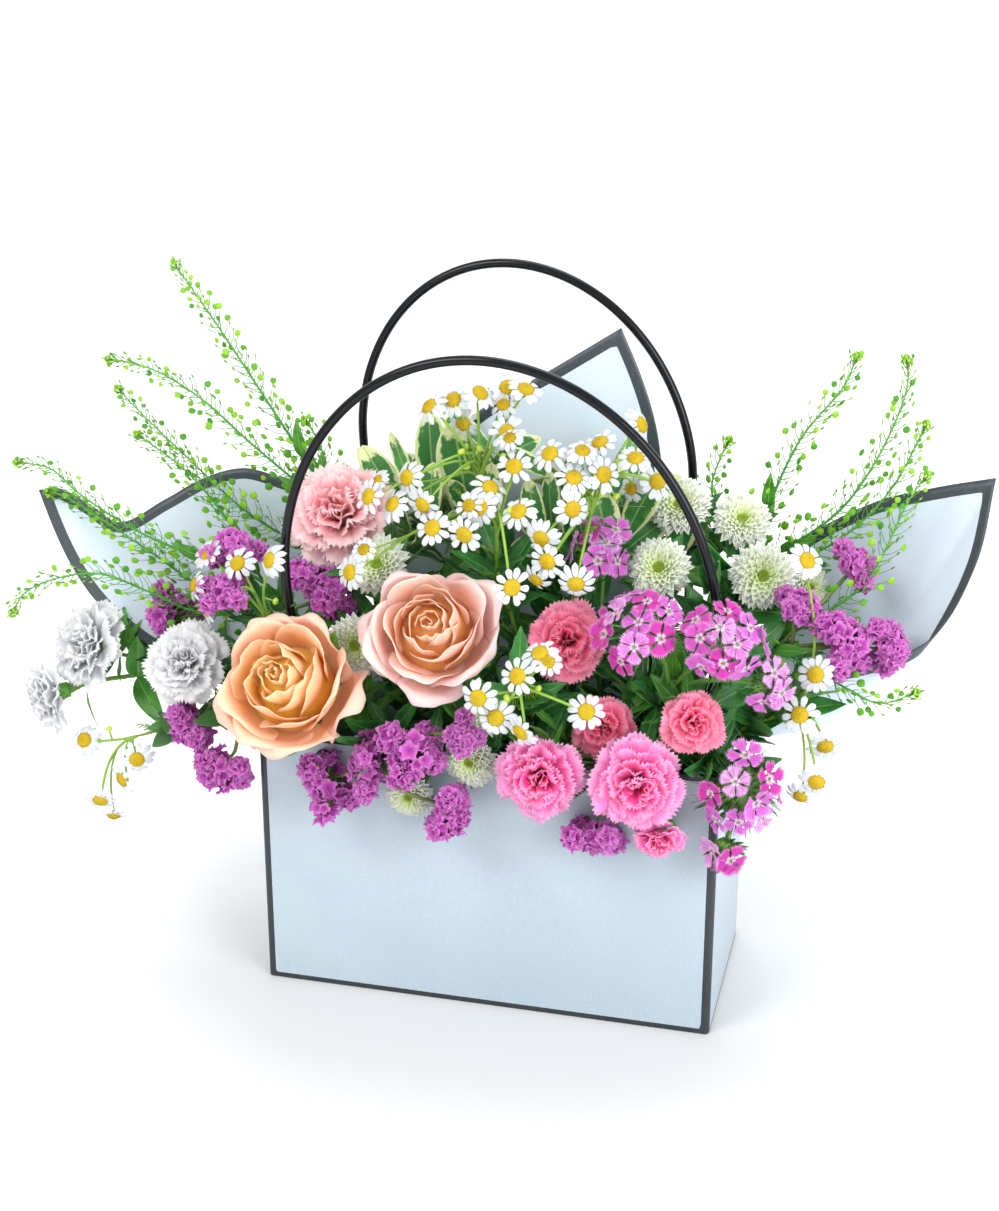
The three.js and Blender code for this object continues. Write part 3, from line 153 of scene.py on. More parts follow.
class Spline(Chain):
    """A centripetal Catmull-Rom curve through points."""

    POWER, SAMPLES, REACH = 0.25, 400, 0.004

    def __init__(self, points):
        self.p = np.array(points, float)
        super().__init__([self.raw(t) for t in np.linspace(0, 1, self.SAMPLES + 1)])

    def raw(self, t):
        """The point at a share t of the spans, whatever their lengths."""
        p, n = self.p, len(self.p)
        at = (n - 1) * t
        i = min(int(at), n - 2)
        w = at - i
        p1, p2 = p[i], p[i + 1]
        p0 = p[i - 1] if i > 0 else 2 * p[0] - p[1]
        p3 = p[i + 2] if i + 2 < n else 2 * p[-1] - p[-2]
        d0, d1, d2 = (max(np.dot(b - a, b - a), 1e-8) ** self.POWER for a, b in ((p0, p1), (p1, p2), (p2, p3)))
        t1 = ((p1 - p0) / d0 - (p2 - p0) / (d0 + d1) + (p2 - p1) / d1) * d1
        t2 = ((p2 - p1) / d1 - (p3 - p1) / (d1 + d2) + (p3 - p2) / d2) * d1
        c2 = -3 * p1 + 3 * p2 - 2 * t1 - t2
        c3 = 2 * p1 - 2 * p2 + t1 + t2
        return p1 + t1 * w + c2 * w * w + c3 * w**3

    def along(self, u):
        return unit(self.at(min(u + self.REACH, 1)) - self.at(max(u - self.REACH, 0)))


def bezier(p, t):
    """Points of a Bezier curve with 3 or 4 control points, at the values t."""
    t = np.asarray(t, float)[..., None]
    if len(p) == 3:
        return (1 - t) ** 2 * p[0] + 2 * t * (1 - t) * p[1] + t * t * p[2]
    return (1 - t) ** 3 * p[0] + 3 * t * (1 - t) ** 2 * p[1] + 3 * t * t * (1 - t) * p[2] + t**3 * p[3]


# ---------------------------------------------------------------- meshes


class Mesh:
    """Collects closed shells. Each vertex has a map place (u, v) and three numbers a material reads:
    age (0 heart to 1 outermost), side (0 inner face, 1 outer face) and tint (a draw for each petal)."""

    def __init__(self):
        self.points, self.uv, self.info = [], [], []
        self.quads, self.slots = [], []
        self.count = 0

    def add(self, points, quads, uv, info, slot=0):
        points = np.asarray(points, float).reshape(-1, 3)
        self.points.append(points)
        self.uv.append(np.asarray(uv, float).reshape(-1, 2))
        self.info.append(np.broadcast_to(np.asarray(info, float), (len(points), 3)))
        quads = np.asarray(quads, int).reshape(-1, 4)
        self.quads.append(np.where(quads < 0, -1, quads + self.count))
        self.slots.append(np.full(len(quads), slot))
        self.count += len(points)

    def sheet(self, mid, thickness, age, tint=0.0, slot=0, taper=True, petal=False):
        """A closed thin sheet from a grid of middle points (rows of v, columns of u). A petal's columns go
        round its bloom, so that its inner face is the one that the grid's normal points away from."""
        mid = np.asarray(mid, float)
        rows, cols = mid.shape[:2]
        du, dv = np.gradient(mid, axis=1), np.gradient(mid, axis=0)
        normal = np.cross(du, dv)
        normal /= np.linalg.norm(normal, axis=-1, keepdims=True) + 1e-9
        v, u = np.meshgrid(np.linspace(0, 1, rows), np.linspace(0, 1, cols), indexing="ij")
        half = np.full_like(u, thickness / 2)
        if taper:
            half *= (0.35 + 0.65 * np.minimum(1, 6 * u * (1 - u))) * (0.4 + 0.6 * np.minimum(1, 5 * (1 - v)))
        top, low = mid + normal * half[..., None], mid - normal * half[..., None]
        n = rows * cols
        ids = np.arange(n).reshape(rows, cols)
        a, b, c, d = ids[:-1, :-1], ids[:-1, 1:], ids[1:, 1:], ids[1:, :-1]
        face = np.stack([a, b, c, d], -1).reshape(-1, 4)
        rim = np.concatenate([ids[0, :-1], ids[:-1, -1], ids[-1, :0:-1], ids[:0:-1, 0]])
        nxt = np.roll(rim, -1)
        quads = np.concatenate([face, face[:, ::-1] + n, np.stack([rim, rim + n, nxt + n, nxt], -1)])
        uv = np.tile(np.stack([u.ravel(), v.ravel()], -1), (2, 1))
        ages = np.broadcast_to(np.asarray(age, float), (rows, cols)).ravel()
        sides = np.repeat([1.0, 0.0] if petal else [0.0, 1.0], n)
        info = np.stack([np.tile(ages, 2), sides, np.full(2 * n, tint)], -1)
        self.add(np.concatenate([top.reshape(-1, 3), low.reshape(-1, 3)]), quads, uv, info, slot)

    def tube(self, path, radius, sides, slot=0, age=0.0, tint=0.0):
        """A closed tube with rounded ends along points; radius is one number or one for each point."""
        path = np.asarray(path, float)
        radius = np.broadcast_to(np.asarray(radius, float), (len(path),)).copy()
        along = np.gradient(path, axis=0)
        along /= np.linalg.norm(along, axis=1, keepdims=True) + 1e-12
        hint = vec(0, 0, 1) if abs(along[0][2]) < 0.9 else vec(0, 1, 0)
        rings = []
        turn = np.linspace(0, 2 * math.pi, sides, endpoint=False)
        for p, t, r in zip(path, along, radius):
            normal = unit(hint - t * np.dot(hint, t))
            hint = normal
            across = np.cross(t, normal)
            rings.append(p + r * (np.cos(turn)[:, None] * normal + np.sin(turn)[:, None] * across))
        for end, at, outward in ((0, 0, -1), (-1, len(rings), 1)):
            tip = rings[end].mean(0) + along[end] * radius[end] * 0.5 * outward
            rings.insert(at, tip + (rings[end] - path[end]) * 0.45)
        self.loft(rings, slot, age, tint)

    def loft(self, rings, slot=0, age=0.0, tint=0.0):
        """A closed skin over rings of equal counts, with a point in the middle of each end."""
        rings = np.asarray(rings, float)
        rows, sides = rings.shape[:2]
        ids = np.arange(rows * sides).reshape(rows, sides)
        nxt = np.roll(ids, -1, axis=1)
        quads = [np.stack([ids[:-1], nxt[:-1], nxt[1:], ids[1:]], -1).reshape(-1, 4)]
        for middle, first, second in ((rows * sides, nxt[0], ids[0]), (rows * sides + 1, ids[-1], nxt[-1])):
            quads.append(np.stack([np.full(sides, middle), first, second, np.full(sides, -1)], -1))
        points = np.concatenate([rings.reshape(-1, 3), [rings[0].mean(0), rings[-1].mean(0)]])
        u = np.concatenate([np.tile(np.linspace(0, 1, sides), rows), [0.5, 0.5]])
        v = np.concatenate([np.repeat(np.linspace(0, 1, rows), sides), [0, 1]])
        ages = np.concatenate([np.repeat(np.broadcast_to(age, rows), sides), [np.min(age), np.max(age)]])
        info = np.stack([ages, np.zeros(len(points)), np.full(len(points), tint)], -1)
        self.add(points, np.concatenate(quads), np.stack([u, v], -1), info, slot)

    def turned(self, profile, place, sides, size=1, slot=0, age=0.0, tint=0.0):
        """A body turned about the axis of a place, from rows of (radius, height) in shares of a size."""
        turn = np.linspace(0, 2 * math.pi, sides, endpoint=False)
        ways = [(r * size, z * size) for r, z in profile]
        rings = [np.stack([r * np.cos(turn), r * np.sin(turn), np.full(sides, z)], -1) for r, z in ways]
        self.loft(put(np.array(rings), place), slot, age, tint)

    def finish(self, name, materials, replaces=(), slot=None):
        """Makes the Blender object, in metres."""
        points = np.concatenate(self.points) * MM
        quads = np.concatenate(self.quads)
        is_tri = quads[:, 3] < 0
        counts = np.where(is_tri, 3, 4)
        loops = quads[np.arange(4)[None, :] < counts[:, None]]
        starts = np.concatenate([[0], np.cumsum(counts)[:-1]])
        me = bpy.data.meshes.new(name)
        me.vertices.add(len(points))
        me.vertices.foreach_set("co", points.ravel())
        me.loops.add(len(loops))
        me.loops.foreach_set("vertex_index", loops)
        me.polygons.add(len(counts))
        me.polygons.foreach_set("loop_start", starts)
        me.polygons.foreach_set("loop_total", counts)
        me.polygons.foreach_set("material_index", np.concatenate(self.slots))
        me.polygons.foreach_set("use_smooth", np.full(len(counts), True))
        layer = me.uv_layers.new(name="Petal")
        layer.data.foreach_set("uv", np.concatenate(self.uv)[loops].ravel())
        info = me.attributes.new("info", "FLOAT_VECTOR", "POINT")
        info.data.foreach_set("vector", np.concatenate(self.info).ravel())
        me.update(calc_edges=True)
        me.validate()
        for material in materials:
            me.materials.append(material)
        ob = bpy.data.objects.new(name, me)
        bpy.context.scene.collection.objects.link(ob)
        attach(ob, "root")
        if replaces:
            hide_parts(*replaces)


# ---------------------------------------------------------------- materials


def srgb(colour):
    """A hex colour as linear RGBA."""
    value = [int(colour[i : i + 2], 16) / 255 for i in (1, 3, 5)]
    return tuple(c / 12.92 if c <= 0.04045 else ((c + 0.055) / 1.055) ** 2.4 for c in value) + (1.0,)


class Value:
    """A number or colour that a node gives, to reckon with as with any other number."""

    def __init__(self, nodes, socket):
        self.nodes, self.socket = nodes, socket

    def __add__(self, other):
        return self.nodes.math("ADD", self, other)

    def __sub__(self, other):
        return self.nodes.math("SUBTRACT", self, other)

    def __rsub__(self, other):
        return self.nodes.math("SUBTRACT", other, self)

    def __mul__(self, other):
        return self.nodes.math("MULTIPLY", self, other)

    def __abs__(self):
        return self.nodes.math("ABSOLUTE", self)


class Nodes:
    """Builds one material's node tree. Further keywords are inputs of its shader."""

    def __init__(self, name, roughness=0.6, **sockets):
        self.mat = bpy.data.materials.new(name)
        self.mat.use_nodes = True
        self.tree = self.mat.node_tree
        self.shader = self.tree.nodes["Principled BSDF"]
        for key, value in {"Roughness": roughness, **sockets}.items():
            self.shader.inputs[key.replace("_", " ")].default_value = value

    def new(self, kind, inputs=None, **settings):
        """A node with its settings and with its inputs by name or number."""
        node = self.tree.nodes.new("ShaderNode" + kind)
        for key, value in settings.items():
            setattr(node, key, value)
        for key, value in (inputs or {}).items():
            self.feed(node.inputs[key], value)
        return node

    def feed(self, socket, value):
        """Links a node's output to an input, or sets the input to a number or a hex colour."""
        if isinstance(value, (Value, bpy.types.NodeSocket)):
            self.tree.links.new(getattr(value, "socket", value), socket)
        elif value is not None:
            socket.default_value = srgb(value) if isinstance(value, str) else value

    def math(self, kind, a, b=None):
        return Value(self, self.new("Math", {0: a, 1: b}, operation=kind).outputs[0])

    def mix(self, factor, a, b):
        return Value(self, self.new("Mix", {0: factor, 6: a, 7: b}, data_type="RGBA").outputs[2])

    def step(self, value, low, high):
        """0 below low, 1 above high, smooth between."""
        node = self.new("MapRange", {0: value, 1: low, 2: high}, interpolation_type="SMOOTHSTEP")
        return Value(self, node.outputs[0])

    def petal(self):
        """u, v and the three numbers of the mesh: age, side, tint."""
        uv = self.new("UVMap", uv_map="Petal").outputs[0]
        info = self.new("Attribute", attribute_name="info").outputs["Vector"]
        parts = [self.new("SeparateXYZ", {0: vector}).outputs for vector in (uv, info)]
        return [Value(self, socket) for socket in (*parts[0][:2], *parts[1][:3])]

    def place(self):
        return self.new("TexCoord").outputs["Object"]

    def noise(self, scale, detail=3.0, vector=None):
        inputs = {"Scale": scale, "Detail": detail, "Roughness": 0.55, "Vector": vector or self.place()}
        return Value(self, self.new("TexNoise", inputs).outputs[0])

    def combine(self, *xyz):
        return Value(self, self.new("CombineXYZ", dict(enumerate(xyz))).outputs[0])

    def veins(self, u, v, count, tint, wander=1.0):
        """Fine lines along a petal that fan out with it: 0 between, 1 on a vein."""
        return self.noise(1.0, 2.0, self.combine(u * count, v * (3.0 * wander), tint * 40.0))

    def finish(self, colour, height, distance, strength, glow=None):
        """Lays on colour and relief. Glow is the share of light that comes through a thin petal or leaf."""
        self.feed(self.shader.inputs["Base Color"], colour)
        bump = self.new("Bump", {"Distance": distance, "Strength": strength, "Height": height})
        self.feed(self.shader.inputs["Normal"], bump.outputs[0])
        if glow:
            through = self.new("BsdfTranslucent", {"Color": colour})
            both = self.new("MixShader", {0: glow, 1: self.shader.outputs[0], 2: through.outputs[0]})
            self.feed(self.tree.nodes["Material Output"].inputs["Surface"], both.outputs[0])
        return self.mat


def petal_material(
    name, face, back, lip, root, vein, shade, vein_share, vein_count=22, lip_from=0.8, lip_share=0.7,
    root_to=0.35, root_share=0.8, spread=0.1, glow=0.5, rough=0.55, relief=0.0002,
):
    """A petal: face and back are each (heart colour, outer colour). Root, lip and vein are laid over them, and
    shade where a petal is worn."""
    n = Nodes(name, rough, Sheen_Weight=0.25, Sheen_Roughness=0.5, Specular_IOR_Level=0.3)
    u, v, age, side, tint = n.petal()
    grown = n.step(age, 0.0, 1.0)
    colour = n.mix(side, n.mix(grown, *face), n.mix(grown, *back))
    near_root = 1 - n.step(v, 0.0, root_to)
    colour = n.mix(near_root * (root_share - grown * (0.6 * root_share)), colour, root)
    patch = n.noise(90.0)
    colour = n.mix(n.step(v + (patch - 0.5) * 0.25, lip_from, 1.02) * lip_share, colour, lip)
    lines = n.veins(u, v, vein_count, tint)
    colour = n.mix(n.step(lines, 0.52, 0.72) * vein_share, colour, vein)
    colour = n.mix(tint * n.step(patch, 0.25, 0.8) * spread, colour, shade)
    return n.finish(colour, lines + n.noise(420.0, 2.0), relief, 0.6, glow)


def plant_material(name, young, old, streak, rough=0.45, glow=0.12, scale=140.0):
    """A stalk, pod or calyx: green that varies along and round it."""
    n = Nodes(name, rough)
    u, v, age, _, tint = n.petal()
    patch = n.noise(scale, 4.0)
    colour = n.mix(n.step(age + patch * 0.4, 0.1, 1.1), young, old)
    lines = n.veins(u, v, 9, tint)
    colour = n.mix(n.step(lines, 0.45, 0.75) * 0.5, colour, streak)
    return n.finish(colour, lines + patch, 0.0002, 0.7, glow)


def leaf_material(name, face, dark, rib, back, glow, rough=0.35, margin=None):
    """A leaf with a midrib and side veins, and for a variegated one a ragged pale margin."""
    n = Nodes(name, rough, Coat_Weight=0.12, Coat_Roughness=0.35)
    u, v, _, side, tint = n.petal()
    off = abs(u - 0.5)
    patch = n.noise(160.0, 4.0)
    colour = n.mix(n.step(patch + tint * 0.3, 0.35, 0.8), face, dark)
    side_veins = abs(n.math("SINE", (v * 26.0 + off * -12.0) * math.pi))
    thin = 1 - n.step(side_veins, 0.0, 0.22)
    colour = n.mix(thin * 0.3, colour, rib)
    if margin:
        ragged = n.noise(1.0, 3.0, n.combine(u * 3.0, v * 9.0, tint * 30.0))
        rim = n.math("MINIMUM", 0.5 - off, (1 - v) * 0.8)
        colour = n.mix(n.step(ragged * 0.32 - rim, 0.02, 0.06), colour, margin)
    midrib = 1 - n.step(off, 0.015, 0.045)
    colour = n.mix(midrib * 0.75, colour, rib)
    colour = n.mix(side * 0.65, colour, back)
    return n.finish(colour, thin * -0.5 + (midrib * -1.0 + patch), 0.0003, 0.8, glow)


# Each petal: face, back, lip, root, vein, shade, share of the veins.
ROSE_LOOK = dict(vein_share=0.2, spread=0.06, glow=0.44, relief=0.00045)
ROSE_APRICOT = petal_material(
    "rose_apricot", ("#ffd848", "#ffd2b4"), ("#ffdc74", "#fecfc0"), "#ffeee0", "#ffca34", "#fcc8a4", "#fdc8a6",
    lip_from=0.45, lip_share=0.65, root_to=0.85, root_share=0.7, **ROSE_LOOK)
ROSE_BLUSH = petal_material(
    "rose_blush", ("#ffc65c", "#ffe0de"), ("#ffd29e", "#ffe4e6"), "#fff5f4", "#ffb248", "#f9cac8", "#f9c6c4",
    lip_from=0.4, lip_share=0.6, root_to=0.75, root_share=0.65, **ROSE_LOOK)
PINK = petal_material(
    "carnation_pink", ("#ff50b0", "#ffa2e0"), ("#ff76c6", "#ffb2e6"), "#ffdaf4", "#ff46a6", "#ff7cc8", "#fa68a6",
    0.22, lip_from=0.72, root_share=0.5)
CORAL = petal_material(
    "carnation_coral", ("#ff689e", "#ff9cc0"), ("#ff8cb2", "#ffb0cc"), "#ffc8dc", "#fc5890", "#fc80aa", "#f46a98",
    0.22, lip_from=0.7, lip_share=0.6, root_share=0.5)
BLUSH = petal_material(
    "carnation_blush", ("#ffb6be", "#ffe2e4"), ("#ffccd2", "#ffeaec"), "#fff4f4", "#ffa4b0", "#fcbcc4", "#fcb0ba",
    0.2, lip_from=0.65, root_share=0.5)
WHITE = petal_material(
    "carnation_white", ("#f1f2f4", "#f5f6f7"), ("#eef0f2", "#f3f4f6"), "#fafbfb", "#f2e4f2", "#eae0ee", "#e8eaf0",
    0.3, lip_from=0.7, lip_share=0.8, spread=0.05)
MUM = petal_material(
    "chrysanthemum", ("#dcf07c", "#fbfff6"), ("#eef8c8", "#fdfff8"), "#ffffff", "#e6f4c4", "#f2f8e6", "#e6f0cc",
    0.35, vein_count=6, lip_from=0.4, lip_share=0.6, root_to=0.5, spread=0.05)
# Statice: the pale lip colour on the outer half of each floret is partly the calyx's own paler edge and partly a
# painted highlight.
STATICE = petal_material(
    "statice", ("#d254c6", "#e06ed2"), ("#bc48b4", "#d460ca"), "#eeaae8", "#a83aa2", "#b446aa", "#aa42a6",
    0.35, vein_count=8, lip_from=0.55, lip_share=0.55, spread=0.3, glow=0.42, rough=0.75)
DAISY_PETAL = petal_material(
    "chamomile_petal", ("#e0e5ea", "#e6eaee"), ("#dce2e2", "#e2e6e8"), "#ecf0f3", "#d8e2cc", "#ccd3d8", "#dde3e6",
    0.45, vein_count=5, root_share=0.5, spread=0.08, glow=0.3)
# Each stalk, pod or calyx: young, old, streak.
MUM_HEART = plant_material("chrysanthemum_heart", "#dcf050", "#ecf8a0", "#c4e03a", 0.6, 0.5)
DAISY_DISC = plant_material("chamomile_disc", "#dcc41c", "#d0aa10", "#a8900e", 0.8, 0.2, scale=700.0)
CHAMOMILE_GREEN = plant_material("chamomile_green", "#7da83a", "#9cc24a", "#5f8f2c")
PENNYCRESS = plant_material("pennycress", "#48a024", "#a6dc38", "#3c8a1e", 0.5, 0.35)
PENNYCRESS_STALK = plant_material("pennycress_stalk", "#6cb434", "#349036", "#2a7430", 0.5, 0.15)
STEM = plant_material("stem", "#4f8a36", "#74a648", "#3a6f2a")
STEM_DARK = plant_material("stem_dark", "#3d5f2c", "#6d7d3a", "#2b4720")
CALYX = plant_material("calyx", "#3f8a2c", "#7cba45", "#2f6f20")
# Each leaf: face, darker face, rib, back.
BRACT = leaf_material("bract", "#3c8a34", "#2a6a2a", "#86bf60", "#5c9c48", 0.25, 0.5)
DARK_LEAF = leaf_material("dark_leaf", "#3c8f38", "#276f2c", "#84bd62", "#6ba358", 0.25)
LIGHT_LEAF = leaf_material("light_leaf", "#68b23c", "#479430", "#a6d674", "#8bc068", 0.28)
PITTOSPORUM = leaf_material("pittosporum", "#5aa44a", "#3c8440", "#a8d088", "#98c080", 0.28, 0.3, "#eef4bc")


def sweet_william_material():
    """Lilac to magenta by the flower, with a pale eye, dark ring and streaks that fan outwards."""
    n = Nodes("sweet_william", Sheen_Weight=0.2)
    u, v, _, side, tint = n.petal()
    kind = n.mix(n.step(tint, 0.28, 0.36), "#dc36b8", "#e27ee0")
    kind = n.mix(n.step(tint, 0.62, 0.8), kind, "#eebcf0")
    lines = n.veins(u, v, 18, tint, 0.4)
    streak = n.step(lines, 0.44, 0.62) * (1 - n.step(v, 0.55, 0.98))
    colour = n.mix(streak * 0.75, kind, "#cc3cae")
    lip, eye, throat = n.step(v, 0.7, 1.0), 1 - n.step(v + lines * 0.16, 0.24, 0.42), 1 - n.step(v, 0.08, 0.16)
    for mask, laid in (
        (lip * 0.4, "#f8dcf6"), (eye * 0.8, "#fbf2fb"), (throat * 0.8, "#a8c070"), (side * 0.5, "#e3c8e8"),
    ):
        colour = n.mix(mask, colour, laid)
    return n.finish(colour, lines, 0.00025, 0.7, 0.45)


def printed_material(name, face, tone, ink, widths, rough, coat, inside):
    """Coated paper or board with a dark printed band along its edges. age is the distance to the edge in
    centimetres, side picks the second band width, and tint above 0.5 is the unprinted reverse."""
    n = Nodes(name, rough, Coat_Weight=coat, Coat_Roughness=0.3)
    _, _, edge, side, tint = n.petal()
    cloud, fine = n.noise(9.0), n.noise(900.0)
    colour = n.mix(n.step(cloud, 0.3, 0.7), face, tone)
    colour = n.mix(n.step(fine, 0.45, 0.8) * 0.12, colour, "#ffffff")
    colour = n.mix(n.step(tint, 0.4, 0.6), colour, inside)
    width = side * (widths[1] - widths[0]) + widths[0]
    band = n.math("LESS_THAN", edge + (fine - 0.5) * 0.012, width)
    colour = n.mix(band * (1 - n.step(fine, 0.6, 0.9) * 0.25), colour, ink)
    n.feed(n.shader.inputs["Roughness"], (fine - 0.5) * 0.12 + rough)
    return n.finish(colour, cloud * 3.0 + fine, 0.00012, 0.5)


def handle_material():
    n = Nodes("handle_plastic", 0.18, Specular_IOR_Level=0.22, Coat_Weight=0.1, Coat_Roughness=0.06)
    n.feed(n.shader.inputs["Roughness"], n.noise(300.0) * 0.14 + 0.14)
    return n.finish(n.mix(n.noise(60.0, 4.0), "#020508", "#081016"), n.noise(220.0), 0.00008, 0.5)


def liner_material():
    n = Nodes("liner_film", 0.3)
    crinkle = n.noise(45.0, 5.0)
    return n.finish(n.mix(crinkle, "#2c3336", "#454d51"), crinkle, 0.0012, 0.8)


def foam_material():
    n = Nodes("wet_foam", 0.9)
    cells = n.new("TexVoronoi", {"Scale": 1400.0, "Vector": n.place()}).outputs["Distance"]
    broad = n.noise(40.0, 5.0)
    return n.finish(n.mix(broad, "#23472a", "#3f6b3a"), Value(n, cells) + broad, 0.0008, 1.0)


SWEET_WILLIAM = sweet_william_material()
BOARD = printed_material("board", "#a9b8c2", "#a1b1bc", "#1f272c", (0.32, 0.2), 0.5, 0.15, "#dfe3e4")
PAPER = printed_material("wrapping_paper", "#cedbe8", "#c4d2e0", "#333c42", (0.62, 0.62), 0.45, 0.2, "#dbe2e8")
HANDLE = handle_material()
for node, material in (("liner", liner_material()), ("foam", foam_material())):
    NODES[node].data.materials.clear()
    NODES[node].data.materials.append(material)

# ---------------------------------------------------------------- bag, handles and sheets

BAG = {"width": 250.0, "depth": 115.0, "height": 150.0, "wall": 1.0, "floor": 1.2, "corner": 2.5}
CORNER_STEPS = 5
PANEL_STEPS = [0.004, 0.012, 0.02, 0.03, *np.linspace(0.06, 0.94, 23), 0.97, 0.98, 0.988, 0.996]
NO_PRINT, HEM_INSET = 5.0, 1.35
HANDLE_FOOT, HANDLE_INSET, HANDLE_RADIUS, PEG_Z, PEG_RADIUS = 132.0, 2.95, 2.5, 139.0, 1.8
CAP = [(0.5, 0), (4.0, 0), (4.5, 0.25), (4.5, 0.75), (4.0, 1.2), (2.6, 1.4), (2.2, 1.15), (0.6, 1.1)]
HOOPS = {
    "handle_front": dict(side=-1, x=8, z=231, wide=112, high=129, tilt=0.3, lean=-7.5, feet=(-86, 99)),
    "handle_back": dict(side=1, x=-5, z=279, wide=93, high=111, tilt=0.35, lean=6, feet=(-86, 88)),
}


def rounded_outline(width, depth, corner):
    """Points round a rectangle with round corners, anticlockwise, and each point's (panel, place) pair:
    panel is 0 on the long sides and 1 on the short ones, place the distance in from that panel's edges."""
    x, y = width / 2 - corner, depth / 2 - corner
    points, kinds = [], []
    middles = [(x, -y), (x, y), (-x, y), (-x, -y)]

    def on_corner(k, degrees):
        a, (cx, cy) = math.radians(degrees), middles[k % 4]
        return vec(cx + corner * math.cos(a), cy + corner * math.sin(a))

    for k in range(4):
        start = 90 * k - 90
        for j in range(CORNER_STEPS + 1):
            points.append(on_corner(k, start + 90 * j / CORNER_STEPS))
            kinds.append((k % 2 if j < CORNER_STEPS / 2 else (k + 1) % 2, 0.0))
        first, last = on_corner(k, start + 90), on_corner(k + 1, start + 90)
        span = np.linalg.norm(last - first)
        for t in PANEL_STEPS:
            points.append(mix(first, last, t))
            kinds.append(((k + 1) % 2, min(t, 1 - t) * span + corner * 0.5))
    return points, kinds


def make_bag():
    """One skin: up the outside, over the folded rim, down the inside past the rim's hem, and over the floor."""
    width, depth, height = BAG["width"], BAG["depth"], BAG["height"]
    outside = np.concatenate([[0.0, 0.5, 1.5, 3.0, 3.4, 6], np.linspace(12, 138, 14), [143, 146.4, 147, 149, 149.7]])
    levels = [(3.0, 0.0, True)] + [(0.0 if z > 0.6 else 0.35 * (1 - z / 0.5), z, True) for z in outside]
    levels += [(0.15, height - 0.05, True), (0.5, height, True), (0.85, height - 0.05, False)]
    levels += [(HEM_INSET, z, False) for z in (149.4, 146, 138, 128, 119.6)]
    levels += [(BAG["wall"], z, False) for z in (119, 100, 60, 20, BAG["floor"] + 1.0)] + [(1.4, BAG["floor"], False)]
    rings, infos = [], []
    for inset, z, printed in levels:
        points, kinds = rounded_outline(width - 2 * inset, depth - 2 * inset, max(BAG["corner"] - inset, 0.4))
        belly = math.sin(math.pi * min(max(z / height, 0), 1)) ** 1.2
        ring = []
        for (x, y), (panel, place) in zip(points, kinds):
            length, most = ((width, 0.7), (depth, 0.4))[panel]
            bow = most * belly * math.sin(math.pi * min(place / length, 0.5)) ** 0.8
            ring.append((x, y + bow * np.sign(y), z) if panel == 0 else (x + bow * np.sign(x), y, z))
            infos.append((min(place, z, height - z) / 10 if printed else NO_PRINT, panel, 0.0 if printed else 1.0))
        rings.append(ring)
    m = Mesh()
    m.loft(rings)
    m.info[0] = np.array(infos + [(NO_PRINT, 0, 0.0), (NO_PRINT, 0, 1.0)], float)
    m.finish("bag_board", [BOARD], ["bag"], slot="bag")


def hoop_path(h):
    """Points of a handle: up one foot inside the panel, round the tilted top and down the other."""
    side = h["side"]
    inside = side * (BAG["depth"] / 2 - BAG["wall"] - HANDLE_INSET)

    def leaning(z):
        return inside + h["lean"] * max(0.0, (z - BAG["height"]) / 200)

    top = []
    for k in range(13):
        turn = mix(math.pi + 0.1 - h["tilt"], -0.1 - h["tilt"], k / 12)
        across, up = h["wide"] * math.cos(turn), h["high"] * math.sin(turn)
        x = h["x"] + across * math.cos(h["tilt"]) - up * math.sin(h["tilt"])
        z = h["z"] + across * math.sin(h["tilt"]) + up * math.cos(h["tilt"])
        top.append(vec(x, leaning(z), z))
    left, right = [[vec(x, inside, HANDLE_FOOT), vec(mix(x, knee[0], 0.25), inside, BAG["height"] + 6)]
                   for x, knee in zip(h["feet"], (top[0], top[-1]))]
    return left + top + right[::-1]


def make_handle(name, h):
    """The hoop with its two pegs and caps."""
    m = Mesh()
    path = hoop_path(h)
    m.tube(Spline(path).spaced(150), HANDLE_RADIUS, 20)
    side = h["side"]
    for foot, shin in ((path[0], path[1]), (path[-1], path[-2])):
        x = mix(foot[0], shin[0], (PEG_Z - foot[2]) / (shin[2] - foot[2]))
        face = side * BAG["depth"] / 2
        inner = side * (BAG["depth"] / 2 - BAG["wall"] - HANDLE_INSET)
        m.tube([vec(x, y, PEG_Z) for y in (inner, mix(inner, face, 0.5), face + side * 0.6)], PEG_RADIUS, 16)
        m.turned(CAP, facing(vec(x, face + side * 0.3, PEG_Z), (0, side, 0)), 28)
    m.finish(name + "_tube", [HANDLE], [name], slot="handle")


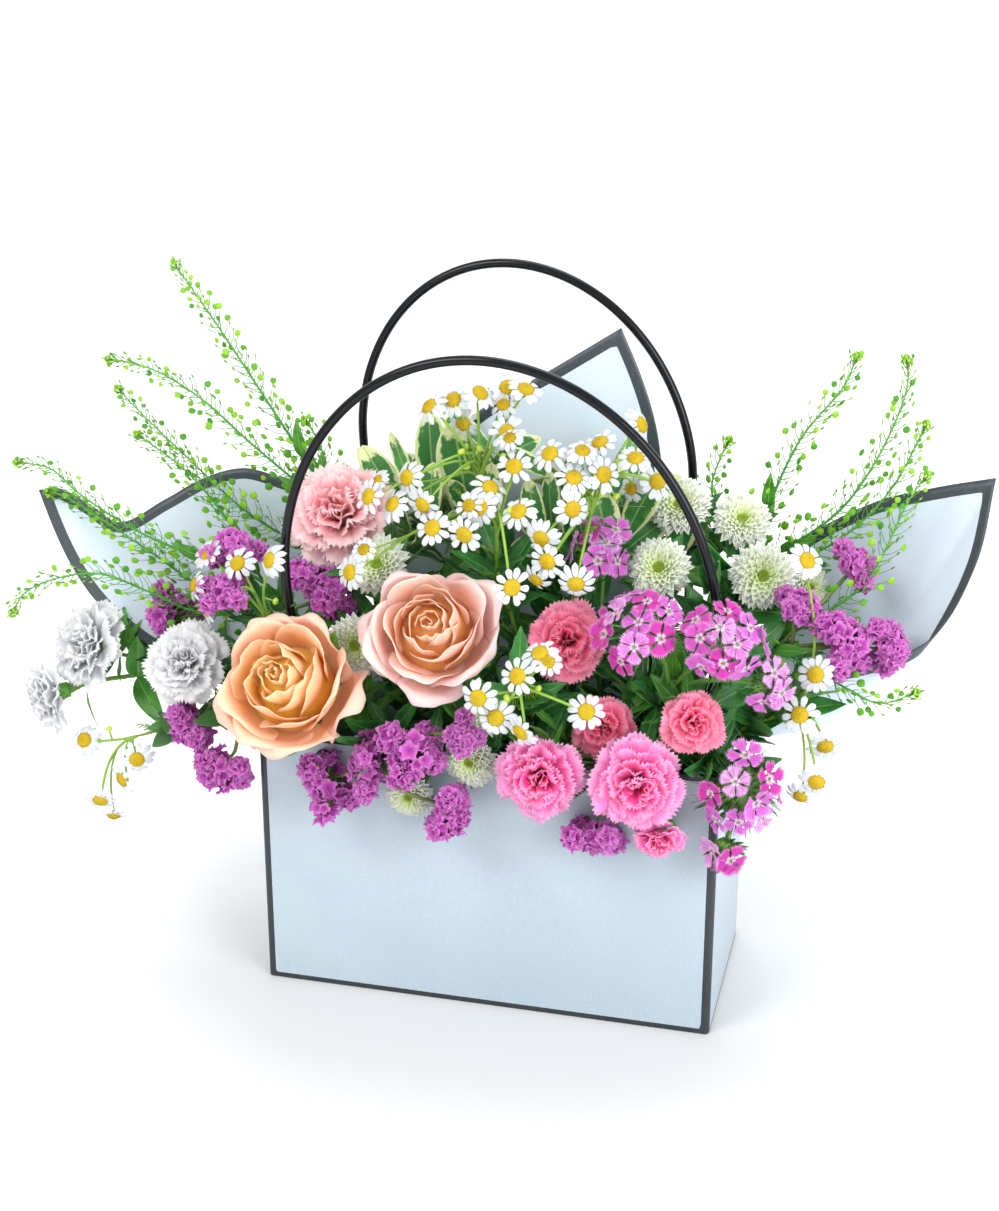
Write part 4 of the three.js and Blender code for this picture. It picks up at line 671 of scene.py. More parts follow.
TUCK_Z, SIDE_X, BACK_Y, OVER_RIM, PAPER_THICKNESS = 70, 123.1, 50.2, 152, 0.45
SHEETS = {
    "paper_left": dict(
        tuck=[(-SIDE_X, -20, TUCK_Z), (-SIDE_X, 40, TUCK_Z)], rim=[(-SIDE_X, -20, OVER_RIM), (-SIDE_X, 42, OVER_RIM)],
        edge=[(-287, 20, 253), (-275, 24, 254), (-259, 28, 245), (-242, 30, 234), (-215, 36, 248), (-192, 42, 261),
              (-169, 46, 267), (-143, 49, 261), (-120, 50, 257)],
        sag=(-8, -1, -10), belly=(-24, 0, -15), wave=1.4),
    "paper_back": dict(
        tuck=[(-78, BACK_Y, TUCK_Z), (72, BACK_Y, TUCK_Z)], rim=[(-80, BACK_Y, OVER_RIM), (74, BACK_Y, OVER_RIM)],
        edge=[(-84, 49, 262), (-64, 48, 276), (-28, 47, 309), (11, 47, 333), (50, 47, 358), (62, 47, 331),
              (70, 48, 306), (75, 49, 276)],
        sag=(0, 2, 0), wave=0.4, tip=4),
    "paper_right": dict(
        tuck=[(SIDE_X, 40, TUCK_Z), (SIDE_X, -20, TUCK_Z)], rim=[(SIDE_X, 42, OVER_RIM), (SIDE_X, -20, OVER_RIM)],
        edge=[(145, 50, 243), (166, 42, 260), (192, 32, 277), (221, 20, 289), (248.2, 10, 298), (242, -6, 257),
              (223, -16, 219), (189, -22, 204), (139, -24, 194)],
        sag=(13, -1, -15), wave=1.2, tip=4),
}


def make_sheet(name, sheet):
    """A sheet from its tucked strip, over the hinge at the rim, up to its free edge. Its print follows its rim."""
    columns, rows, hinge = 70, 60, 0.25
    edge, tip = sheet["edge"], sheet.get("tip", 0)
    sides = [Spline(part) for part in (edge[: tip + 1], edge[tip:]) if len(part) > 1]
    split = tip / (len(edge) - 1)
    grid = np.zeros((rows + 1, columns + 1, 3))
    for j in range(rows + 1):
        for i in range(columns + 1):
            u, v = i / columns, j / rows
            low = mix(vec(*sheet["tuck"][0]), vec(*sheet["tuck"][1]), u)
            mid = mix(vec(*sheet["rim"][0]), vec(*sheet["rim"][1]), u)
            if v <= hinge:
                grid[j, i] = mix(low, mid, v / hinge)
                continue
            t = (v - hinge) / (1 - hinge)
            bulge = vec(*sheet["sag"]) * math.sin(math.pi * t) * math.sin(math.pi * (0.15 + 0.7 * u))
            ripple = sheet["wave"] * t * (math.sin(7 * u + 3 * t) + 0.5 * math.sin(17 * u - 5 * t)) * 0.6
            high = sides[0].raw(u / split) if u < split else sides[-1].raw((u - split) / (1 - split))
            belly = vec(*sheet.get("belly", (0, 0, 0))) * math.sin(math.pi * t) * (1 - u) ** 2
            grid[j, i] = mix(mid, high, t) + bulge + belly + vec(0, ripple, 0)
    rim = np.concatenate([grid[0], grid[:, -1], grid[-1, ::-1], grid[::-1, 0]])
    dense = np.concatenate([mix(a, b, np.linspace(0, 1, 5)[:, None]) for a, b in zip(rim[:-1], rim[1:])])
    flat = grid.reshape(-1, 3)
    near = np.array([np.sqrt(((dense - p) ** 2).sum(1).min()) for p in flat]).reshape(rows + 1, columns + 1)
    m = Mesh()
    m.sheet(grid, PAPER_THICKNESS, age=near / 10, taper=False)
    m.finish(name + "_sheet", [PAPER], [name], slot="paper")


# ---------------------------------------------------------------- where the larger blooms are

BLOOMS = [
    # name, centre, axis, radius, slot, look
    ("rose_left", (-94, -95, 196), (-0.05, -0.8, 0.6), 41, "rose_apricot", ROSE_APRICOT),
    ("rose_right", (-20, -79, 226), (0.12, -0.84, 0.53), 38, "rose_blush", ROSE_BLUSH),
    ("carnation_front_left", (38, -86, 154), (0.08, -1, 0), 25, "carnation_pink", PINK),
    ("carnation_front_right", (88, -88, 156), (0.15, -1, 0), 25, "carnation_pink", PINK),
    ("carnation_low", (98, -77, 123), (0.1, -0.85, -0.5), 16, "carnation_pink", PINK),
    ("carnation_mid_right", (113, -76, 187), (0.35, -0.9, 0.15), 18, "carnation_pink", CORAL),
    ("carnation_mid_left", (66, -62, 174), (0, -0.95, 0.3), 19, "carnation_pink", CORAL),
    ("carnation_coral", (44, -52, 215), (0.1, -0.9, 0.4), 23, "carnation_pink", CORAL),
    ("carnation_blush", (-90, -14, 263), (-0.1, -0.75, 0.65), 34, "carnation_blush", BLUSH),
    ("carnation_white_upper", (-236, -30, 179), (-0.45, -0.75, 0.45), 28, "carnation_white", WHITE),
    ("carnation_white_lower", (-259, -38, 150), (-0.75, -0.6, -0.15), 23, "carnation_white", WHITE),
    ("carnation_white_near", (-167, -52, 183), (0.05, -0.8, 0.6), 26, "carnation_white", WHITE),
    ("mum_top_left", (91, 4, 274), (-0.1, -0.7, 0.7), 18, "chrysanthemum", MUM),
    ("mum_top_right", (124, 0, 270), (0.15, -0.75, 0.65), 16.5, "chrysanthemum", MUM),
    ("mum_right", (138, -20, 247), (0.2, -0.9, 0.4), 19, "chrysanthemum", MUM),
    ("mum_far_right", (160, -6, 238), (0.6, -0.75, 0.3), 14, "chrysanthemum", MUM),
    ("mum_centre", (86, -26, 249), (0, -0.85, 0.5), 18, "chrysanthemum", MUM),
    ("mum_behind_rose", (-61, -38, 243), (-0.05, -0.85, 0.5), 18, "chrysanthemum", MUM),
    ("mum_between_roses", (-68, -56, 204), (0.05, -1, 0.2), 18, "chrysanthemum", MUM),
    ("mum_under_rose", (5, -66, 178), (0, -0.9, 0.4), 14, "chrysanthemum", MUM),
    ("mum_front", (-2, -72, 152), (-0.1, -1, -0.05), 16, "chrysanthemum", MUM),
    ("mum_low", (-36, -70, 128), (0, -1, -0.25), 15, "chrysanthemum", MUM),
]


def bloom_place(at, axis):
    return seat(at, axis, at[0] * 0.1)


def in_bloom(point):
    """Whether a point lies among the petals of a larger bloom."""
    for _, at, axis, size, _, _ in BLOOMS:
        out = point - vec(*at)
        along = float(np.dot(out, unit(vec(*axis))))
        across = math.sqrt(max(0.0, float(np.dot(out, out)) - along * along))
        if -0.62 * size < along < 0.55 * size and across < 0.98 * size * mix(0.7, 1, (along / size + 0.62) / 1.17):
            return True
    return False


# ---------------------------------------------------------------- petals and leaves


def fan(rows, cols):
    """Grids of v (root 0 to lip 1) and across (-1 to 1)."""
    return np.meshgrid(np.linspace(0, 1, rows), np.linspace(-1, 1, cols), indexing="ij")


def polar(turn, radius, z, size, place):
    """Points given round a bloom's axis, in bloom radii, moved to the bloom's place."""
    local = np.stack([radius * np.cos(turn), radius * np.sin(turn), z * np.ones_like(turn)], -1)
    return put(local * size, place)


def leaf(m, r, base, direction, face, length, width, slot=0, rows=12, cols=7, curl=0.12, fold=0.25, wave=0.02,
         teeth=0, widest=0.75, blunt=0.8, thickness=0.45, shy=False):
    """A blade with its base at a point: it droops by curl, folds up along its midrib and waves at its margin.
    A shy leaf isn't made where it would cut into a bloom."""
    along = unit(vec(*direction))
    if shy and any(in_bloom(base + along * length * t) for t in (0.35, 0.65, 1.0)):
        return
    across = unit(np.cross(along, face))
    up = np.cross(across, along)
    v, c = fan(rows, cols)
    half = np.maximum(width / 2 * np.sin(math.pi * v**widest) ** blunt, width * 0.03)
    if teeth:
        half = half * (1 - 0.16 * (np.arange(rows) % 2)[:, None] * (v > 0.12))
    phase, turn = any_turn(r), r.uniform(-0.12, 0.12)
    height = fold * np.abs(c) * half - curl * length * v**2 + wave * length * np.abs(c) * np.sin(9 * v + phase + c)
    grid = base + v[..., None] * along * length + (c * half)[..., None] * across + height[..., None] * up
    grid = grid + (turn * length * v**2)[..., None] * across
    m.sheet(grid, thickness, age=r.uniform(), tint=r.uniform(), slot=slot)


# ---------------------------------------------------------------- roses

# A petal's path (root to lip, radius and height in bloom radii) at stages from the heart, 0, to the outermost, 1.
ROSE_STAGES = [0.0, 0.25, 0.5, 0.7, 0.85, 1.0]
ROSE_PATHS = np.array([
    [[0.10, -0.5], [0.24, -0.3], [0.25, 0.2], [0.19, 0.45]],
    [[0.14, -0.5], [0.38, -0.3], [0.38, 0.2], [0.32, 0.43]],
    [[0.20, -0.5], [0.57, -0.35], [0.52, 0.15], [0.54, 0.36]],
    [[0.30, -0.53], [0.76, -0.45], [0.60, 0.16], [0.80, 0.21]],
    [[0.36, -0.54], [0.92, -0.5], [0.64, 0.14], [0.94, 0.06]],
    [[0.44, -0.55], [0.98, -0.58], [0.72, 0.08], [1.02, -0.2]],
])
ROSE_HALF_WIDTHS = [1.6, 1.35, 1.15, 1.0, 0.85, 0.78]
ROSE_PETALS = np.concatenate([np.linspace(0.03, 0.46, 10), np.linspace(0.54, 0.78, 7), np.linspace(0.85, 1, 6)])
ROSE_HEART = [(0.1, -0.5), (0.45, -0.5), (0.56, -0.38), (0.5, -0.2), (0.36, 0.0), (0.2, 0.18), (0.05, 0.22)]
ROSE_HIP = [
    (0.05, -0.69), (0.12, -0.685), (0.2, -0.67), (0.33, -0.64), (0.42, -0.6), (0.44, -0.56), (0.3, -0.52),
    (0.1, -0.5),
]
ROSE_THICKNESS = 0.42


def make_rose(name, at, axis, size, material, slot):
    """A wound heart inside petals that open outwards, on a hip with five sepals."""
    m, r, start = Mesh(), rng(name), 0.6
    place = bloom_place(at, axis)
    skyward = place[:3, :3].T @ vec(0, 0, 1)
    top = math.atan2(skyward[1], skyward[0])
    turns = np.linspace(0, 1.8 * 2 * math.pi, 96)
    v, t = np.meshgrid(np.linspace(0, 1, 13), turns, indexing="ij")
    wound = t / turns[-1]
    radius = (0.02 + 0.14 * wound) * (1 + 0.15 * np.sin(math.pi * v))
    radius = radius + 0.02 * np.sin(1.7 * t) * v + 0.008 * np.sin(7.3 * t) * v
    lip = mix(0.37, 0.41, wound) + 0.026 * np.sin(2.3 * t) + 0.012 * np.sin(6.1 * t)
    m.sheet(polar(t + start, radius, mix(-0.35, lip, v), size, place), 0.35, age=0.02, tint=0.3, petal=True)
    for n, s in enumerate(ROSE_PETALS):
        path = np.array([[np.interp(s, ROSE_STAGES, ROSE_PATHS[:, k, j]) for j in range(2)] for k in range(4)])
        middle = start + n * (GOLDEN if s < 0.8 else 2.5) + r.uniform(-0.15, 0.15)
        raised = math.cos(middle - top) * s
        path[3] += vec(-0.05, 0.08) * raised + r.uniform(-0.035, 0.035, 2) * (0.5 + s)
        path[2] += vec(-0.03, 0.05) * raised
        half = np.interp(s, ROSE_STAGES, ROSE_HALF_WIDTHS) * r.uniform(0.8, 1.08)
        v, c = fan(24, 31)
        off = r.uniform(-0.28, 0.28)
        apart = np.abs((c - off) / (1 + abs(off)))
        point = r.uniform(0.02, 0.07) * mix(0.5, 1, s) + 0.1 * smoothstep(0.75, 1, s) * r.uniform(0.3, 1)
        rounded = mix(0.55, 0.68, s) * apart ** mix(2.8, 1.8, s)
        along = v * (0.95 - rounded + point * np.exp(-((apart / mix(0.2, 0.3, s)) ** 2)))
        rz = bezier(path, along)
        lip = smoothstep(0.5, 1, v)
        opening = np.sin(math.pi / 2 * np.minimum(1, 1.6 * v))
        turn = middle + c * half * mix(0.5, 1, opening)
        wave = np.sin(c * r.uniform(2.5, 5) + any_turn(r)) + 0.5 * np.sin(c * r.uniform(6, 9) + n)
        rolled = lip * s**1.5 * np.abs(c) ** 1.7
        dent = r.uniform(0.02, 0.07) * np.exp(-(((c - r.uniform(-0.6, 0.6)) / 0.22) ** 2)) * lip * (1 - 0.6 * s)
        ruffle = 0.012 * np.sin(c * r.uniform(9, 14) + any_turn(r)) * lip**2
        radius = rz[..., 0] + 0.05 * c * np.minimum(1, 2.5 * v) + 0.08 * rolled
        radius = radius + mix(0.02, 0.034, s) * wave * lip + ruffle - dent
        frayed = np.sin(c * 17 + 3 * n) + 0.6 * np.sin(c * 31 + n)
        z = rz[..., 1] - 0.19 * rolled + 0.024 * lip * np.sin(c * 5 + n)
        z = z + 0.008 * frayed * lip**3 - 0.06 * smoothstep(0.8, 1, v) * s**2
        crease = 0.01 * np.exp(-(((c - off) / 0.1) ** 2)) * v * s
        grid = polar(turn, np.minimum(radius - crease, 1.04), z, size, place)
        m.sheet(grid, ROSE_THICKNESS, age=s, tint=r.uniform(), petal=True)
    m.turned(ROSE_HEART, place, 24, size, age=0.3, tint=0.5)
    m.uv[-1][:, 1] = 0.2
    m.turned(ROSE_HIP, place, 20, size, slot=1, age=0.5)
    for k in range(5):
        v, c = fan(12, 7)
        width = 0.26 * np.sin(math.pi * v**0.6) ** 0.8 + 0.01
        turn = k * 2 * math.pi / 5 + 0.4 + c * width
        z = -0.66 + 0.1 * v + 0.22 * v**2 + 0.02 * np.sin(7 * v + k)
        radius = 0.3 + 0.66 * v - 0.08 * v**2
        m.sheet(polar(turn, radius, z - 0.05 * np.abs(c) * width, size, place), 0.6, slot=1, age=0.6, tint=0.1 * k)
    m.finish(name + "_petals", [material, CALYX], [name], slot=slot)


# ---------------------------------------------------------------- carnations

# Where a petal's lip is (radius and height in bloom radii) at stages from the heart, 0, to the outermost, 1.
CARNATION_STAGES = [0, 0.22, 0.45, 0.7, 0.88, 1]
CARNATION_LIP_R = [0.1, 0.34, 0.58, 0.86, 1.02, 1.08]
CARNATION_LIP_Z = [0.40, 0.42, 0.36, 0.2, 0.04, -0.14]
CARNATION_CUP = [(0.06, -0.52), (0.19, -0.51), (0.2, -0.44), (0.21, -0.34), (0.2, -0.24), (0.05, -0.2)]
CARNATION_THICKNESS = 0.28


def make_carnation(name, at, axis, size, material, slot):
    """Frilled petals with jagged lips that spread from a calyx tube."""
    m, r, cols = Mesh(), rng(name), 27
    place = bloom_place(at, axis)
    petals = 40 if size > 22 else 32
    for n in range(petals):
        s = min(1.0, max(0.0, ((n + 0.5) / petals) ** 0.75 + r.uniform(-0.08, 0.08)))
        lip_r = np.interp(s, CARNATION_STAGES, CARNATION_LIP_R) * r.uniform(0.86, 1.02)
        lip_z = np.interp(s, CARNATION_STAGES, CARNATION_LIP_Z) + r.uniform(-0.09, 0.06)
        path = [[0.05, -0.4], [mix(0.06, 0.3, s), mix(0.1, -0.1, s)], [lip_r * 0.72, lip_z + 0.02], [lip_r, lip_z]]
        path = np.array(path)
        half = min(1.3, mix(0.36, 0.6, s) / lip_r) * r.uniform(0.8, 1.2)
        v, c = fan(9, cols)
        jag = 1 - 0.085 * (np.arange(cols) % 2) * r.uniform(0.5, 1.4, cols)
        along = v * (1 - 0.24 * np.abs(c) ** 2.2) * mix(1, jag, smoothstep(0.75, 1, v))
        rz = bezier(path, along)
        slope = bezier(path, np.minimum(along + 0.02, 1.02)) - rz
        slope /= np.linalg.norm(slope, axis=-1, keepdims=True) + 1e-9
        broad, middle, fine = any_turn(r, 3)
        frill = 0.105 * np.sin(c * 3.5 + broad) + mix(0.055, 0.042, s) * np.sin(c * 7.6 + middle)
        frill = (frill + 0.016 * np.sin(c * 14 + fine)) * v**2 * mix(1.1, 1, s)
        turn = n * GOLDEN + c * half * mix(0.35, 1, smoothstep(0, 0.8, v)) + 0.25 * frill
        radius = np.clip(rz[..., 0] - slope[..., 1] * frill, 0.02, 1.06)
        z = np.clip(rz[..., 1] + slope[..., 0] * frill, -0.4, 0.47)
        m.sheet(polar(turn, radius, z, size, place), CARNATION_THICKNESS, age=s, tint=r.uniform(), petal=True)
    m.turned(CARNATION_CUP, place, 16, size, slot=1, age=0.3)
    for k in range(6):
        v, c = fan(6, 5)
        turn = k * math.pi / 3 + 0.2 * c * (1 - v) + 0.02 * c
        m.sheet(polar(turn, 0.2 + 0.09 * v, mix(-0.36, -0.16, v), size, place), 0.4, slot=1, age=0.2)
    m.finish(name + "_petals", [material, CALYX], [name], slot=slot)


# ---------------------------------------------------------------- chrysanthemums

MUM_ROWS = [
    # petals, tip radius, tip height, half width, tip curl
    (22, 1.0, -0.08, 0.132, 0.05), (22, 0.95, 0.0, 0.13, 0.07), (21, 0.87, 0.08, 0.124, 0.09),
    (20, 0.77, 0.15, 0.114, 0.1), (18, 0.65, 0.2, 0.102, 0.11), (16, 0.52, 0.24, 0.088, 0.1),
    (13, 0.39, 0.26, 0.072, 0.08), (11, 0.27, 0.25, 0.056, 0.05),
]
RAY_THICKNESS = 0.3
MUM_HEART_FORM = [(0.05, -0.1), (0.12, -0.05), (0.13, 0.06), (0.11, 0.13), (0.06, 0.16), (0.02, 0.17)]
MUM_CUP = [(0.05, -0.36), (0.15, -0.35), (0.24, -0.27), (0.27, -0.19), (0.2, -0.12), (0.05, -0.1)]


def round_tip(v, start, span, least):
    """How wide a ray is towards its tip: 1 up to the start, then falling as a quarter of a circle."""
    return np.sqrt(np.clip(1 - np.clip((v - start) / span, 0, 1) ** 2, least, 1))


def ray(out, side, z, turn):
    """A ray's points given along and across it, turned about Z."""
    cos, sin = math.cos(turn), math.sin(turn)
    return np.stack([out * cos - side * sin, out * sin + side * cos, z + 0 * out], -1)


def make_mum(name, at, axis, size):
    """Rows of rounded petals that stand up more towards a lime heart of small tubes."""
    m, r = Mesh(), rng(name)
    place = bloom_place(at, axis)
    for row, (count, tip_r, tip_z, half, curl) in enumerate(MUM_ROWS):
        s = 1 - row / (len(MUM_ROWS) - 1)
        for k in range(count):
            v, c = fan(13, 7)
            reach, lift = tip_r * r.uniform(0.9, 1.02), tip_z + r.uniform(-0.03, 0.03)
            path = np.array([[0.1, -0.16 + 0.02 * row], [reach * 0.5, mix(lift, -0.06, 0.35)], [reach, lift]])
            rz = bezier(path, v * (1 - 0.1 * c**2))
            width = half * (0.3 + 0.7 * smoothstep(0, 0.75, v)) * round_tip(v, 0.76, 0.25, 0.02)
            cup = 0.8 * half * c**2 * mix(0.6, 1, v)
            turn = (k + 0.5 * (row % 2)) * 2 * math.pi / count + r.uniform(-0.09, 0.09)
            side = c * width + 0.03 * v**2 * r.uniform(-1, 1)
            z = np.minimum(rz[..., 1] + cup + curl * smoothstep(0.6, 1, v) * 0.8, 0.35)
            local = ray(rz[..., 0], side, z, turn)
            m.sheet(put(local * size, place), RAY_THICKNESS, age=s**0.5, tint=r.uniform(), petal=True)
    m.turned(MUM_HEART_FORM, place, 14, size, slot=1, age=0.5)
    florets, up = 26, place[:3, 2] * size
    for k in range(florets):
        out = 0.125 * math.sqrt((k + 0.5) / florets)
        foot = put(around(k * GOLDEN, 0.15 + 1.2 * out**2, out) * size, place)
        path, radii = ahead(foot, up, -0.06, 0.02, 0.06), [0.022 * size, 0.025 * size, 0.014 * size]
        m.tube(path, radii, 5, slot=1, age=out * 5, tint=r.uniform())
    m.turned(MUM_CUP, place, 14, size, slot=2, age=0.4)
    for k in range(12):
        v, c = fan(6, 4)
        turn = k * math.pi / 6 + 0.22 * c * (1 - v**2)
        m.sheet(polar(turn, 0.2 + 0.2 * v, -0.27 + 0.13 * v, size, place), 0.4, slot=2, age=0.4)
    m.finish(name + "_petals", [MUM, MUM_HEART, CALYX], [name], slot="chrysanthemum")


# ---------------------------------------------------------------- sprays: stems shared by small heads

FOAM_FOOT = 106


def branch(curve, head):
    """Where a stalk leaves a main stem for a head, and the stem's direction there."""
    shares = np.arange(41) / 40
    gaps = np.linalg.norm(curve.at(shares) - head, axis=1)
    near = int(np.argmin(gaps))
    back = 0.6 * gaps[near] if head[2] > curve.at(shares[near])[2] else 0
    t = max(0.15, shares[near] - back / curve.length)
    return curve.here(t)


def stalk(curve, head):
    """A bent path of nine points from a main stem to a head."""
    point, along = branch(curve, head)
    bend = point + along * 0.45 * np.linalg.norm(head - point)
    return bezier([point, bend, head], np.linspace(0, 1, 9))


def cluster_stalk(m, curve, centre, axis, start, end, radius):
    """A stalk to a cluster, and on into it; start and end are how far below its centre."""
    path = np.concatenate([stalk(curve, centre - axis * start), [centre - axis * end]])
    m.tube(path, radius, 8, 1, age=0.7)


def curve_leaves(m, curve, count, size, slot, r, end=0.75):
    """Leaves up a main stem, each a golden turn on from the last."""
    for k in range(count):
        t = end * ((k + 0.5) / count)
        here, along = curve.here(t)
        a = k * GOLDEN + r.uniform(-0.4, 0.4)
        out = vec(math.cos(a), 0.75 * math.sin(a) - 0.2, 0.25)
        length = size * r.uniform(0.8, 1.2)
        leaf(m, r, here, unit(out + along * r.uniform(0.4, 1.1)), along - out * 0.8, length,
             length * r.uniform(0.28, 0.42), slot, rows=13, teeth=k % 2, curl=r.uniform(0.02, 0.2), shy=True)


def main_stem(m, stem, radius, steps, slot, wings=0.0):
    """The stem of a spray from its foot in the foam, with or without twisted wings. Returns its curve in steps."""
    smooth = Spline(stem)
    path = np.concatenate([[[*stem[0][:2], FOAM_FOOT]], smooth.spaced(30)])
    rows = len(path)
    m.tube(path, np.linspace(radius * 1.1, radius * 0.7, rows), 10, slot, age=np.linspace(1, 0.2, rows + 2))
    if wings:
        for k in range(2):
            a = k * math.pi / 2 + 0.25 * np.arange(rows)
            out = np.stack([np.cos(a), np.sin(a), 0 * a], -1) * (radius * wings)
            m.sheet(np.stack([path - out, path, path + out], 1), 0.5, slot=slot, age=0.7, tint=0.4)
    return Chain(smooth.spaced(steps))


DAISY_RADIUS = 10.5
DAISY_DOME = [
    (0.1, -0.12), (0.3, -0.1), (0.39, 0.0), (0.41, 0.1), (0.375, 0.2), (0.28, 0.28), (0.15, 0.33), (0.03, 0.34)]
DAISY_CUP = [(0.06, -0.24), (0.14, -0.22), (0.3, -0.12), (0.38, -0.02), (0.3, 0.03), (0.1, 0.0)]
BUD = [(0.6, -1.4), (1.7, -0.8), (2.0, 0.1), (1.7, 0.9), (0.8, 1.4)]
CHAMOMILES = {
    "chamomile_top": ([(-6, 12, 143), (-12, 2, 200), (-14, -14, 255), (-9, -24, 300)], 1.3, [
        (-32, -35, 328), (-21, -30, 331), (-8, -30, 335), (5, -22, 337), (16, -30, 338), (9, -38, 318),
        (-39, -52, 295), (-45, -58, 282), (-28, -62, 285), (-57, -60, 286), (-66, -66, 247)]),
    "chamomile_middle": ([(8, -4, 143), (8, -14, 200), (2, -30, 240), (6, -48, 275)], 1.3, [
        (-21, -70, 275), (-4, -72, 274), (1, -62, 285), (4, -55, 293), (16, -52, 304), (22, -66, 285),
        (26, -98, 257)]),
    "chamomile_right": ([(32, 2, 143), (36, -8, 200), (44, -24, 250), (54, -32, 290)], 1.3, [
        (33, -46, 310), (46, -52, 300), (47, -60, 287), (35, -72, 275), (40, -80, 266), (54, -80, 256),
        (55, -30, 313), (59, -44, 301), (73, -30, 306), (71, -10, 319), (81, -10, 290)]),
    "chamomile_front": ([(22, -32, 143), (25, -50, 172), (27, -78, 192), (30, -96, 204)], 1.1, [
        (42, -104, 226), (33, -112, 217), (14, -114, 205), (21, -108, 193), (35, -112, 189), (64, -100, 197)]),
    "chamomile_left": ([(-86, -24, 143), (-100, -34, 180), (-120, -44, 208), (-128, -46, 224)], 1.1, [
        (-107, -72, 252), (-153, -50, 215), (-136, -46, 240), (-158, -34, 240)]),
    "chamomile_far_right": ([(110, -24, 143), (130, -32, 166), (154, -38, 182), (166, -42, 205)], 1.1, [
        (161, -44, 264), (170, -56, 210), (164, -66, 192), (176, -50, 171), (174, -66, 158)]),
    "chamomile_low_left": ([(-106, -34, 143), (-126, -42, 158), (-166, -44, 146), (-200, -50, 136)], 1.1, [
        (-232, -50, 130), (-220, -60, 100), (-205, -60, 114), (-195, -62, 128)]),
}


def daisy(m, head, axis, r, size=DAISY_RADIUS):
    """A chamomile head: rounded white rays, a domed disc of many tiny florets and green bracts below."""
    place = seat(head, axis, any_turn(r))
    count = int(r.integers(10, 14))
    droop = r.uniform(0.0, 0.4)
    for k in range(count):
        v, c = fan(11, 7)
        reach = r.uniform(0.84, 1.0)
        turn = (k + r.uniform(-0.2, 0.2)) * 2 * math.pi / count
        notch = 1 - 0.05 * np.cos(c * math.pi * 1.5) ** 2 * (v > 0.95)
        out = mix(0.3, reach, v * (1 - 0.05 * c**2) * notch)
        width = 0.158 * (0.5 + 0.5 * smoothstep(0, 0.7, v)) * round_tip(v, 0.74, 0.27, 0.03)
        side = c * width + 0.02 * v * r.uniform(-1, 1)
        z = 0.1 + 0.03 * np.sin(v * 3) - (droop + r.uniform(-0.08, 0.12)) * v**2
        z = z + 0.03 * c**2 * v + 0.012 * np.cos(c * 7) * v
        local = ray(out, side, z, turn)
        m.sheet(put(local * size, place), RAY_THICKNESS, age=r.uniform(), tint=r.uniform(), slot=1, petal=True)
    m.turned(DAISY_DOME, place, 16, size, slot=2, age=0.5)
    florets = 62
    for k in range(florets):
        out = 0.4 * math.sqrt((k + 0.5) / florets)
        spot = put(around(k * GOLDEN, 0.305 - 1.15 * out**2, out) * size, place)
        path = ahead(spot, unit(around(k * GOLDEN, 1, out * 1.6, place)), -0.3, 0.25, 0.6)
        m.tube(path, [0.36, 0.4, 0.24], 5, slot=2, age=1 - out * 2, tint=r.uniform())
    m.turned(DAISY_CUP, place, 14, size, age=0.5)


def fern(m, base, direction, face, length, r):
    """A feathery leaf: threads on both sides of a thin midrib, some of them forked."""
    along = unit(direction)
    across = unit(np.cross(along, face))
    up = np.cross(across, along)

    def spot(t):
        return base + along * t * length - up * 0.12 * length * t * t

    m.tube([spot(t) for t in np.linspace(0, 1, 7)], np.linspace(0.5, 0.25, 7), 5, age=0.6)
    for k in range(7):
        t = 0.2 + 0.75 * k / 6
        for sign in (-1, 1):
            reach = length * 0.34 * math.sin(math.pi * (0.15 + 0.8 * t)) * r.uniform(0.8, 1.15)
            side = unit(across * sign + along * 0.7 + up * r.uniform(-0.2, 0.3))
            here = spot(t)
            path = [here, here + side * reach * 0.55, here + (side + along * 0.15) * reach]
            m.tube(path, [0.36, 0.34, 0.2], 4, age=0.4)
            if k % 2:
                here, fork = here + side * reach * 0.4, unit(side + along * 0.8)
                m.tube([here, here + fork * reach * 0.45], [0.32, 0.2], 4, age=0.3)


